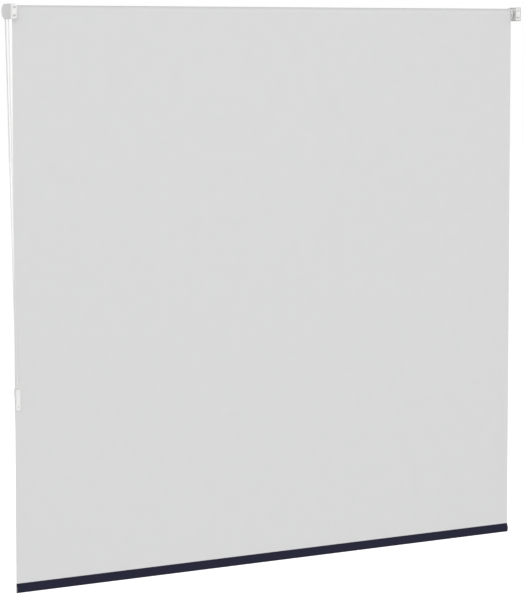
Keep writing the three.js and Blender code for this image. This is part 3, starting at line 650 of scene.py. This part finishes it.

# %% [markdown]
# ## The hanging cloth
# Blackout cloth is a woven textile with an opaque coating on its window side. It hangs flat under the
# weight of the hem bar, but never quite: it has faint upright waves that fade out at the roll and at
# the hem, and its cut edges curl by a hair. A grid with enough points takes those waves as small moves
# in code, and a Solidify modifier gives it its 0.42 mm. The window side gets the coating and the room
# side the navy weave.


# %% A sheet as a grid
def sheet_grid(name, columns, rows, place):
    """A grid whose points come from a function of two shares, with a UV map in metres."""
    nothing_selected()
    bpy.ops.mesh.primitive_grid_add(x_subdivisions=columns, y_subdivisions=rows, size=2)
    piece = bpy.context.object
    piece.name = name
    shares = [((v.co.x + 1) / 2, (v.co.y + 1) / 2) for v in piece.data.vertices]
    spots = [place(across, along) for across, along in shares]
    for vert, (point, _) in zip(piece.data.vertices, spots):
        vert.co = point
    uv = piece.data.uv_layers[0].data
    for loop in piece.data.loops:
        uv[loop.index].uv = spots[loop.vertex_index][1]
    piece.data.update()
    return piece


def faces_look(piece, way_at):
    """Turn the sheet's faces over if they don't look, on the whole, the way that a place asks for."""
    total = sum(face.normal.dot(way_at(face.center)) * face.area for face in piece.data.polygons)
    if total < 0:
        piece.data.flip_normals()


def outwards(y, z):
    """The way out from a line along X, for any place."""
    return lambda place: Vector((0, place.y - y, place.z - z))


def thickened(piece, front, back, offset, rim, smooth):
    """Give a sheet its thickness, with a finish on its front and one on its back, and smooth it."""
    piece.data.materials.clear()
    piece.data.materials.append(front)
    piece.data.materials.append(back)
    modified(
        piece, "SOLIDIFY", thickness=CLOTH, offset=offset, use_even_offset=True,
        material_offset=1, material_offset_rim=rim,
    )
    only(piece)
    bpy.ops.object.shade_smooth_by_angle(angle=math.radians(smooth))
    print(piece.name, [round(value, 4) for value in piece.dimensions], len(piece.data.polygons), "faces")


# %% The drop
WIDTH = FABRIC_END - FABRIC_START
DROP = -HEM_TOP
WAVE = 0.9 * MM
CURL = 0.5 * MM
CURLED = 0.012


def drop_place(across, along):
    """A point of the drop: across from 0 at the chain side, along from 0 at the hem."""
    x = FABRIC_START + WIDTH * across
    z = HEM_TOP + DROP * along
    fade = math.sin(math.pi * (1 - along)) ** 0.7 if 0 < along < 1 else 0.0
    wave = 0.45 * math.sin(9.5 * across + 0.8) + 0.30 * math.sin(23 * across + 2.1 + 1.4 * along)
    edge = math.exp(-across / CURLED) + math.exp(-(1 - across) / CURLED)
    y = CLOTH_Y - CLOTH / 2 + (WAVE * wave + CURL * edge) * fade
    return (x, y, z), (x, z)


drop = sheet_grid("hanging_cloth", 150, 96, drop_place)
faces_look(drop, lambda place: Vector((0, -1, 0)))
thickened(drop, coating, navy, offset=-1, rim=0, smooth=40)
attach(drop, "frame")
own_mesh(drop)
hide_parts("fabric_drop")

# %% [markdown]
# ## The cloth on the roll
# A spiral strip: one and a half turns round the tube, each a little further out. It leaves the roll on
# the wall side, level with the axis, where the hanging cloth begins. The strip has 96 segments a turn,
# so its outline is round.

# %% The roll
TURNS = 1.5
PITCH = 0.85 * MM
MEAN_RADIUS = 15.2 * MM
UNEVEN = 0.06 * MM
WOUND = AROUND * TURNS * MEAN_RADIUS


def roll_place(across, along):
    """A point of the strip, from its start on the tube to where it leaves the roll."""
    x = FABRIC_START + WIDTH * across
    angle = math.pi - AROUND * TURNS * (1 - along)
    uneven = UNEVEN * math.sin(7 * across * math.pi + 3 * along)
    fade = math.sin(math.pi * along) ** 0.5 if 0 < along < 1 else 0.0
    radius = TUBE + GAP + CLOTH + TURNS * PITCH * along + uneven * fade
    y = AXIS_Y + radius * math.cos(angle)
    z = radius * math.sin(angle)
    return (x, y, z), (x, WOUND * (1 - along))


roll = sheet_grid("rolled_cloth", 40, 144, roll_place)
faces_look(roll, outwards(AXIS_Y, 0))
thickened(roll, coating, navy, offset=-1, rim=0, smooth=40)
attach(roll, "roller")
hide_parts("fabric_roll")

# %% [markdown]
# ## The hem
# The cloth comes down on the room side of the bar, goes round under it and up on the wall side, and is
# sewn through both layers near its top. So the navy room face is what shows on the window side too. It
# is one strip with a profile: a flat seam above, a full round pocket below. The profile is a list of
# points made smooth, and the strip gets small puckers where the stitches pull.

# %% The hem's profile
SEAM = 4 * MM
STITCH_Z = HEM_TOP - 2 * MM
PUCKER = 0.05 * MM
PUCKER_LENGTH = 9 * MM
PUCKER_FADE = 1.5 * MM
WIDEST = HEM_BOTTOM + 10.5 * MM


def smooth_line(points, steps):
    """A smooth line through points, with the same number of steps between each two."""
    line = []
    for i in range(len(points) - 1):
        before = Vector(points[max(i - 1, 0)])
        start, end = Vector(points[i]), Vector(points[i + 1])
        after = Vector(points[min(i + 2, len(points) - 1)])
        for step in range(steps):
            t = step / steps
            spot = (2 * start + (end - before) * t
                    + (2 * before - 5 * start + 4 * end - after) * t * t
                    + (3 * start - before - 3 * end + after) * t ** 3) / 2
            line.append(spot)
    line.append(Vector(points[-1]))
    return line


side = [
    (0.00030, HEM_TOP), (0.00030, HEM_TOP - SEAM * 0.55), (0.00050, HEM_TOP - SEAM),
    (0.00205, HEM_TOP - SEAM - 2.2 * MM), (0.00375, HEM_TOP - SEAM - 5.2 * MM), (0.00427, WIDEST),
    (0.00392, HEM_BOTTOM + 5.6 * MM), (0.00255, HEM_BOTTOM + 1.9 * MM), (0.0, HEM_BOTTOM + CLOTH / 2),
]
profile = smooth_line(side, 5)
profile = profile + [Vector((-p.x, p.y)) for p in reversed(profile[:-1])]
lengths = [0.0]
for a, b in zip(profile, profile[1:]):
    lengths.append(lengths[-1] + (b - a).length)


# %% The hem strip
def hem_place(across, along):
    """A point of the hem strip, from the room side's seam round under the bar to the flap."""
    spot = along * (len(profile) - 1)
    index = min(int(round(spot)), len(profile) - 1)
    point = profile[index]
    x = FABRIC_START + WIDTH * across
    near_seam = math.exp(-abs(STITCH_Z - point.y) / PUCKER_FADE)
    pucker = PUCKER * math.sin(AROUND * x / PUCKER_LENGTH) * near_seam
    sag = (0.10 * math.sin(11 * across + 1.0) + 0.06 * math.sin(31 * across)) * MM
    y = CLOTH_Y + point.x + (pucker + sag * (1 - near_seam)) * (1 if point.x > 0 else -1)
    return (x, y, point.y), (x, lengths[index])


hem = sheet_grid("hem", 508, len(profile) - 1, hem_place)
faces_look(hem, outwards(CLOTH_Y, WIDEST))
thickened(hem, navy, coating, offset=0, rim=1, smooth=50)
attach(hem, "rail")
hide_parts("hem_pocket")

# %% The stitches
STITCH_PITCH = 3 * MM
STITCH_OUT = 0.56 * MM


def strung(model, places):
    """Copies of a model, each with its own mesh, set at places and turns and joined in one piece."""
    copies = []
    for spot, turn in places:
        copy = model.copy()
        copy.data = model.data.copy()
        bpy.context.collection.objects.link(copy)
        copy.location, copy.rotation_euler = spot, turn
        copies.append(copy)
    nothing_selected()
    for copy in copies:
        copy.select_set(True)
    bpy.context.view_layer.objects.active = copies[0]
    bpy.ops.object.join()
    bpy.data.objects.remove(model, do_unlink=True)
    return copies[0]


nothing_selected()
bpy.ops.mesh.primitive_uv_sphere_add(segments=6, ring_count=4, radius=1)
bpy.context.object.scale = (1.15 * MM, 0.16 * MM, 0.19 * MM)
stitch = in_mesh()
columns = [FABRIC_START + (index + 0.5) * STITCH_PITCH for index in range(int(WIDTH / STITCH_PITCH))]
seams = [((x, CLOTH_Y + out, STITCH_Z), (0, 0, 0)) for out in (-STITCH_OUT, STITCH_OUT) for x in columns]
stitches = strung(stitch, seams)
settled_on(stitches, "hem_stitches", "rail", sewing, "fabric_navy", smooth=60)

# %% [markdown]
# ## The bead chain
# A moulded bead chain is round beads at an even pitch on a thin cord. It runs as a belt: over the wheel
# inside the cover, down both strands and round a pin in the wall clip. The loop's length is fixed by
# its beads, and the solids' own places say where the wheel and the pin are, so the beads sit in the
# wheel's pockets. One bead is modelled, and 332 copies follow the belt.

# %% The belt
BEAD = 2.25 * MM
BEAD_PITCH = 6 * MM
BEADS = 332
POCKETS = 11
WHEEL_RADIUS = POCKETS * BEAD_PITCH / AROUND
CHAIN_X = -2.15 * MM
CLIP_X = 3.5 * MM
PIN_RUN = 3.55 * MM
pin_low, pin_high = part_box("clip_pin")
PIN_Y, PIN_Z = (pin_low[1] + pin_high[1]) / 2, (pin_low[2] + pin_high[2]) / 2
apart = math.hypot(AXIS_Y - PIN_Y, PIN_Z)
lean = math.asin((WHEEL_RADIUS - PIN_RUN) / apart)
strand = math.hypot(apart * math.cos(lean), CLIP_X - CHAIN_X)
down = math.atan2(PIN_Z, PIN_Y - AXIS_Y)
rear = AROUND + down - math.pi / 2 + lean
front = down + math.pi / 2 - lean
rear_arc = WHEEL_RADIUS * (rear - math.pi / 2)
low_arc = PIN_RUN * (math.pi - 2 * lean)
belt = 2 * strand + WHEEL_RADIUS * (math.pi + 2 * lean) + low_arc
print("belt:", round(belt * 1000, 2), "mm for", BEADS * BEAD_PITCH * 1000, "mm of beads")


def on_belt(at):
    """The point of the belt's middle at a distance from the wheel's top."""
    def arc(y, z, x, radius, angle):
        return Vector((x, y + radius * math.cos(angle), z + radius * math.sin(angle)))

    def line(angle, share):
        start = arc(AXIS_Y, 0, CHAIN_X, WHEEL_RADIUS, angle)
        return start.lerp(arc(PIN_Y, PIN_Z, CLIP_X, PIN_RUN, angle), share)

    at = at % (BEADS * BEAD_PITCH)
    if at < rear_arc:
        return arc(AXIS_Y, 0, CHAIN_X, WHEEL_RADIUS, math.pi / 2 + at / WHEEL_RADIUS)
    at -= rear_arc
    if at < strand:
        return line(rear, at / strand)
    at -= strand
    if at < low_arc:
        return arc(PIN_Y, PIN_Z, CLIP_X, PIN_RUN, rear + at / PIN_RUN)
    at -= low_arc
    if at < strand:
        return line(front, 1 - at / strand)
    return arc(AXIS_Y, 0, CHAIN_X, WHEEL_RADIUS, front + (at - strand) / WHEEL_RADIUS)


# %% The beads
def bead_turn(at):
    """The turn that points a bead along the belt."""
    way = on_belt(at + 0.1 * MM) - on_belt(at - 0.1 * MM)
    return way.to_track_quat("Z", "X").to_euler()


nothing_selected()
bpy.ops.mesh.primitive_uv_sphere_add(segments=10, ring_count=7, radius=BEAD)
stations = [index * BEAD_PITCH for index in range(BEADS)]
chain = strung(bpy.context.object, [(on_belt(at), bead_turn(at)) for at in stations])
settled_on(chain, "bead_chain_run", "frame", bead_plastic, "chain_white", "bead_chain", smooth=60)

# %% The cord through the beads
CORD = 0.6 * MM


def wire(name, points, radius, roundness, closed):
    """A round wire along points, as a mesh. An open one has its ends filled."""
    line = bpy.data.curves.new(name, "CURVE")
    line.dimensions = "3D"
    line.bevel_depth = radius
    line.bevel_resolution = roundness
    line.use_fill_caps = not closed
    run = line.splines.new("POLY")
    run.points.add(len(points) - 1)
    for station, point in zip(run.points, points):
        station.co = (*point, 1)
    run.use_cyclic_u = closed
    piece = bpy.data.objects.new(name, line)
    bpy.context.collection.objects.link(piece)
    only(piece)
    bpy.ops.object.convert(target="MESH")
    return bpy.context.object


halfway = [on_belt(index * BEAD_PITCH / 2) for index in range(2 * BEADS)]
cord = wire("chain_cord", halfway, CORD, 1, closed=True)
settled_on(cord, "chain_cord", "frame", bead_plastic, "chain_white", smooth=60)

# %% [markdown]
# ## The brackets
# Each bracket is bent from one steel sheet: an arm that carries the roller, and a plate that is screwed
# to the wall through two slots. The arm begins as a disc round the axis. The half towards the wall is
# cut away, the cut face is pulled back to the wall, spun through a quarter circle for the bend, and
# pulled out as the plate. The slots are cut through and all edges are broken.

# %% Sizes of the brackets
SHEET = 1.8 * MM
BEND = 2.4 * MM
BEND_STEPS = 6
PLATE = 14.5 * MM
ARM = 15.154 * MM
NECK = 6 * MM
SLOT_RADIUS = 2.3 * MM
SLOT_STRETCH = 2.2 * MM
BROKEN_EDGE = 0.25 * MM
PLATE_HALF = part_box("control_bracket")[1][2]
SLOT_Z = PLATE_HALF - 6.7 * MM
SLOT_X = BEND + 5.5 * MM
print("plate half height:", round(PLATE_HALF * 1000, 2), "mm")


# %% Half a disc, and a slot
def room_half(start, end, radius, sides):
    """The room side's half of a disc round the axis, in edit mode, with its cut face selected."""
    piece = cylinder(start, end, radius, AXIS_Y, 0, sides)
    in_edit(piece)
    bpy.ops.mesh.bisect(plane_co=(0, AXIS_Y, 0), plane_no=(0, 1, 0), use_fill=True, clear_inner=True)
    pick_faces(lambda middle, way: way.y < -FACING and abs(middle.y - AXIS_Y) < NEAR)
    return piece


def slot_tool(x, z):
    """A long hole's shape: a rod through the plate, with its two halves drawn apart."""
    tool = rod((x, 1 * MM, z), ALONG_Y, SLOT_RADIUS, 6 * MM, 32)
    in_edit(tool)
    for side_way in (-1, 1):
        pick_points(lambda spot: (spot.x - x) * side_way > NEAR)
        bpy.ops.transform.translate(value=(side_way * SLOT_STRETCH, 0, 0))
    out_of_edit()
    return tool


# %% A bent bracket
def bent_bracket(outer, way):
    """A bracket whose arm's outer face is at outer, and whose plate reaches the given way along X."""
    a, b = sorted((outer, outer + way * SHEET))
    piece = room_half(a, b, ARM, 72)
    pull(y=NECK - AXIS_Y)
    bpy.ops.transform.resize(value=(1, 1, PLATE_HALF / ARM), center_override=((a + b) / 2, NECK, 0))
    pull(y=BEND - NECK)
    pivot = Vector((outer + way * BEND, BEND, 0))
    turn = way * math.radians(90 / BEND_STEPS)
    for step in range(BEND_STEPS):
        bpy.ops.mesh.extrude_region_move()
        mesh = bmesh.from_edit_mesh(piece.data)
        for vert in [v for v in mesh.verts if v.select]:
            flat = vert.co - pivot
            vert.co.x = pivot.x + flat.x * math.cos(turn) - flat.y * math.sin(turn)
            vert.co.y = pivot.y + flat.x * math.sin(turn) + flat.y * math.cos(turn)
        bmesh.update_edit_mesh(piece.data)
    pull(x=way * (PLATE - BEND))
    out_of_edit()
    cut_with(piece, *[slot_tool(outer + way * SLOT_X, z) for z in (-SLOT_Z, SLOT_Z)])
    return piece


# %% The chain side bracket
SCREW = 1.8 * MM
arm_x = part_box("control_bracket")[0][0]
control = bent_bracket(arm_x, 1)
hole = cylinder(arm_x - 1 * MM, arm_x + 4 * MM, SCREW, AXIS_Y, 0, 32)
seat = sink((arm_x + 0.35 * MM, AXIS_Y, 0), ALONG_X, 4.5 * MM, SCREW, depth=2.7 * MM)
cut_with(control, hole, seat)
softened(control, BROKEN_EDGE)
settled_on(control, "chain_side_bracket", "frame", bracket_paint, "bracket_white", "control_bracket")

# %% The far bracket
BUSH_HOLE = 5.2 * MM
arm_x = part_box("idle_bracket")[1][0]
far = bent_bracket(arm_x, -1)
cut_with(far, cylinder(arm_x - 4 * MM, arm_x + 1 * MM, BUSH_HOLE, AXIS_Y, 0, 48))
softened(far, BROKEN_EDGE)
settled_on(far, "far_bracket", "frame", bracket_paint, "bracket_white", "idle_bracket")

# %% [markdown]
# ## The end covers
# A cover is a moulded cap with a D outline: a round nose round the roller's axis and a flat back on the
# wall. It starts as a cylinder, loses the half towards the wall, and its cut face is pulled back to the
# wall. The open side and the back are taken off, a Solidify modifier makes the wall, and the outer rim
# is rounded. The chain side cover gets a mouth at the bottom for the two strands.


# %% A D cover
COVER_WALL = 1.5 * MM


def d_cover(node, open_way, rim, mouth=None):
    """A cover that fills its solid's box, open towards +1 or -1 along X."""
    low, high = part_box(node)
    shut, open_end = (low[0], high[0]) if open_way > 0 else (high[0], low[0])
    piece = room_half(low[0], high[0], high[2], 96)
    pull(y=-AXIS_Y)
    pick_faces(lambda middle, way: way.x * open_way > FACING and abs(middle.x - open_end) < NEAR)
    bpy.ops.mesh.delete(type="FACE")
    pick_faces(lambda middle, way: way.y < -FACING and middle.y < NEAR)
    bpy.ops.mesh.delete(type="FACE")
    out_of_edit()
    modified(piece, "SOLIDIFY", thickness=COVER_WALL, offset=-1, use_even_offset=True, use_rim=True)
    if mouth:
        cut_with(piece, box(*mouth))
    in_edit(piece)
    count = pick_edges(lambda middle: abs(middle.x - shut) < NEAR and middle.y > 1 * MM)
    bpy.ops.mesh.bevel(offset=rim, segments=5, profile=0.5, affect="EDGES", clamp_overlap=True)
    out_of_edit()
    softened(piece, 0.18 * MM, angle=50)
    print(node, "rim edges rounded:", count)
    return piece


# %% The chain side cover
MOUTH_REAR = AXIS_Y - 15.8 * MM
MOUTH_FRONT = AXIS_Y + 14.3 * MM
MOUTH_TOP = -8 * MM
low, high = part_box("control_cover")
mouth = (
    (low[0] + COVER_WALL, MOUTH_REAR, low[2] - 2 * MM),
    (high[0] + 2 * MM, MOUTH_FRONT, MOUTH_TOP),
)
cover = d_cover("control_cover", 1, 1.3 * MM, mouth)
settled_on(cover, "chain_side_cover", "frame", cover_plastic, "cover_grey", "control_cover")

# %% The far cover
far_cover = d_cover("idle_cover", -1, 1.0 * MM)
settled_on(far_cover, "far_cover", "frame", cover_plastic, "cover_grey", "idle_cover")

# %% [markdown]
# ## The clip on the wall
# The clip keeps the chain's loop tight and out of reach, which is a safety rule for such blinds. It is a
# moulded bowl, open above, with a steel pin across it that the loop runs round, and a tab below with one
# screw hole. The bowl is a cylinder whose upper half is cut off and whose cut face is pulled up.

# %% The clip's sizes
CLIP_WALL = 1.2 * MM
PIN_HOLE = 1.3 * MM
BOWL = 6.1 * MM
TAB = 2.0 * MM
TAB_HOLE = 2.2 * MM
clip_low, clip_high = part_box("tension_clip")
TAB_RADIUS = (clip_high[0] - clip_low[0]) / 2
HOLE_Z = PIN_Z - 26 * MM


def bowl_shape(start, end, radius, sides, top, mouth_y):
    """The lower half of a disc round the pin, pulled up to top and widened there to mouth_y."""
    piece = cylinder(start, end, radius, PIN_Y, PIN_Z, sides)
    in_edit(piece)
    bpy.ops.mesh.bisect(plane_co=(0, 0, PIN_Z), plane_no=(0, 0, 1), use_fill=True, clear_outer=True)
    pick_faces(lambda middle, way: way.z > FACING)
    pull(z=top - PIN_Z)
    pick_points(lambda spot: spot.z > top - NEAR and spot.y > PIN_Y)
    bpy.ops.transform.translate(value=(0, mouth_y - PIN_Y - radius, 0))
    out_of_edit()
    return piece


# %% The clip's bowl and tab
bowl = bowl_shape(clip_low[0], clip_high[0], PIN_Y, 64, clip_high[2], clip_high[1])
tab_end = rod((CLIP_X, TAB / 2, clip_low[2] + TAB_RADIUS), ALONG_Y, TAB_RADIUS, TAB, 48)
tab = box((clip_low[0], 0, clip_low[2] + TAB_RADIUS), (clip_high[0], TAB, PIN_Z))
joined(bowl, tab, tab_end)
print("clip body:", [round(value * 1000, 1) for value in bowl.dimensions])

# %% The clip's pocket and holes
inner_low, inner_high = clip_low[0] + CLIP_WALL, clip_high[0] - CLIP_WALL
inside = bowl_shape(inner_low, inner_high, BOWL, 48, clip_high[2] + 2 * MM, clip_high[1] - CLIP_WALL)
pin_hole = cylinder(clip_low[0] - 1 * MM, clip_high[0] + 1 * MM, PIN_HOLE, PIN_Y, PIN_Z, 24)
screw_hole = rod((CLIP_X, 1.0 * MM, HOLE_Z), ALONG_Y, TAB_HOLE, 8 * MM, 32)
seat = sink((CLIP_X, 1.5 * MM, HOLE_Z), (-math.pi / 2, 0, 0), TAB_HOLE, 4.0 * MM, depth=1.8 * MM)
cut_with(bowl, inside, pin_hole, screw_hole, seat)
softened(bowl, 0.22 * MM, angle=45)
settled_on(bowl, "chain_clip", "frame", trim_plastic, "trim_white", "tension_clip")

# %% [markdown]
# ## The bar's end caps
# Each cap is an oval plate with a stem that plugs the bar. The plate has a shallow recess, as moulded
# caps have so that they cool flat. A cylinder is squeezed to the oval, its outer face is inset and
# pressed in, a longer and thinner oval is joined on as the stem, and the edges are rounded.


# %% A cap
CAP_PLATE = 1.5 * MM
CAP_LENGTH = 13.5 * MM
STEM_START = 0.8 * MM
STEM_INSIDE = 1.4 * MM
RECESS_RIM = 0.9 * MM
RECESS = 0.45 * MM


def oval(start, end, y, z, half_y, half_z):
    """An oval rod along X."""
    piece = cylinder(*sorted((start, end)), 1.0, y, z, 56)
    in_edit(piece)
    bpy.ops.transform.resize(value=(1, half_y, half_z), center_override=(start, y, z))
    return piece


def bar_cap(node, way):
    """A cap whose outer face looks along way on X."""
    low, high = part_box(node)
    y, z = (low[1] + high[1]) / 2, (low[2] + high[2]) / 2
    half_y, half_z = (high[1] - low[1]) / 2, (high[2] - low[2]) / 2
    outer = low[0] if way < 0 else high[0]
    plate = oval(outer, outer - way * CAP_PLATE, y, z, half_y, half_z)
    pick_faces(lambda middle, face_way: face_way.x * way > FACING)
    bpy.ops.mesh.inset(thickness=RECESS_RIM)
    pull(x=-way * RECESS)
    out_of_edit()
    start, end = outer - way * STEM_START, outer - way * CAP_LENGTH
    stem = oval(start, end, y, z, half_y - STEM_INSIDE, half_z - STEM_INSIDE)
    out_of_edit()
    joined(plate, stem)
    softened(plate, 0.2 * MM)
    return plate


settled_on(bar_cap("bar_cap_left", -1), "left_bar_cap", "rail", trim_plastic, "trim_white", "bar_cap_left")
settled_on(bar_cap("bar_cap_right", 1), "right_bar_cap", "rail", trim_plastic, "trim_white", "bar_cap_right")

# %% [markdown]
# ## Turned pieces, with their edges broken
# The guard, the plug, the bush and the hub keep the solids' shapes, but a moulded edge is never knife
# sharp. A copy of each is merged, its flat faces are joined into single ones, and a small bevel is
# applied. The solid itself isn't changed.


# %% A copy with broken edges
def with_broken_edges(node, name, body, material, slot, width):
    """A merged and bevelled copy of a solid, in its place."""
    source = frame["nodes"][node]
    piece = source.copy()
    piece.data = source.data.copy()
    for key in list(piece.keys()):
        del piece[key]
    piece.parent = None
    bpy.context.collection.objects.link(piece)
    in_edit(piece)
    bpy.ops.mesh.remove_doubles(threshold=NEAR)
    bpy.ops.mesh.dissolve_limited(angle_limit=math.radians(1))
    out_of_edit()
    softened(piece, width, angle=30)
    settled_on(piece, name, body, material, slot, node, smooth=30)


with_broken_edges("chain_guard", "wheel_guard", "frame", drive_plastic, "drive_grey", 0.2 * MM)
with_broken_edges("idle_plug", "far_plug", "roller", gear_plastic, "mechanism_white", 0.2 * MM)
with_broken_edges("idle_bush", "pin_bush", "frame", gear_plastic, "mechanism_white", 0.12 * MM)
with_broken_edges("drive_hub", "tube_hub", "roller", drive_plastic, "drive_grey", 0.2 * MM)

# %% [markdown]
# ## The plug's spring
# A steel spring inside the plug pushes the pin out. When the blind is hung, the pin is pressed in and
# the spring shortens, so it is squashed towards its seat as the pin moves. Such springs lie flat at both
# ends, where the last turn closes on the one before. A curve with a round section follows the coil, and
# the points that its two end caps share with it are merged.

# %% The coil
WIRE = 0.9 * MM
CLOSED_PITCH = 1.02 * WIRE
OPEN_TURNS = 6
STEPS_A_TURN = 24
spring_low, spring_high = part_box("pin_spring")
spring_length = spring_high[0] - spring_low[0]
coil_radius = (spring_high[2] - spring_low[2] - WIRE) / 2
open_pitch = (spring_length - WIRE - 2 * CLOSED_PITCH) / OPEN_TURNS


def on_coil(turns):
    """The point of the wire's middle after so many turns. The first and last turns lie flat."""
    advance = CLOSED_PITCH * min(turns, 1)
    advance += open_pitch * min(max(turns - 1, 0), OPEN_TURNS)
    advance += CLOSED_PITCH * max(turns - 1 - OPEN_TURNS, 0)
    angle = AROUND * turns
    across = (AXIS_Y + coil_radius * math.cos(angle), coil_radius * math.sin(angle))
    return (spring_low[0] + WIRE / 2 + advance, *across)


turned = [on_coil(index / STEPS_A_TURN) for index in range((OPEN_TURNS + 2) * STEPS_A_TURN + 1)]
coil = wire("plug_spring", turned, WIRE / 2, 2, closed=False)
in_edit(coil)
bpy.ops.mesh.remove_doubles(threshold=0.001 * MM)
out_of_edit()
settled_on(coil, "plug_spring", "roller", bright_steel, "bright_steel", "pin_spring", smooth=60)
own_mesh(coil)
print("spring:", round(spring_length * 1000, 2), "mm long, pitch", round(open_pitch * 1000, 2), "mm")

# %% [markdown]
# ## Finishes for the solids that stay
# The rest of the solids already have the right shape. Each gets its finish through its material slot.

# %% Finishes by solid
stays = {
    "clutch_core": drive_plastic, "hub_retainer": drive_plastic, "sprocket": drive_plastic,
    "plug_retainer": gear_plastic, "core_screw": bright_steel, "clutch_spring_1": bright_steel,
    "clutch_spring_2": bright_steel, "idle_pin": bright_steel, "clip_pin": bright_steel,
    "roller_tube": drawn_aluminium, "bottom_bar": drawn_aluminium, "tube_spline": trim_plastic,
}
for name, material in stays.items():
    for holder in frame["nodes"][name].material_slots:
        holder.link = "OBJECT"
        holder.material = material
print("solids with a finish:", len(stays))

# %% [markdown]
# ## The end
# The dressed blind has to fill the same box as the solids. A helper turns a box's corners into plain
# numbers, and the last line leaves nothing selected.

# %% Sizes and the end
def flat(corners):
    """A box's corners as plain numbers."""
    return [[float(value) for value in corner] for corner in corners]


nothing_selected()
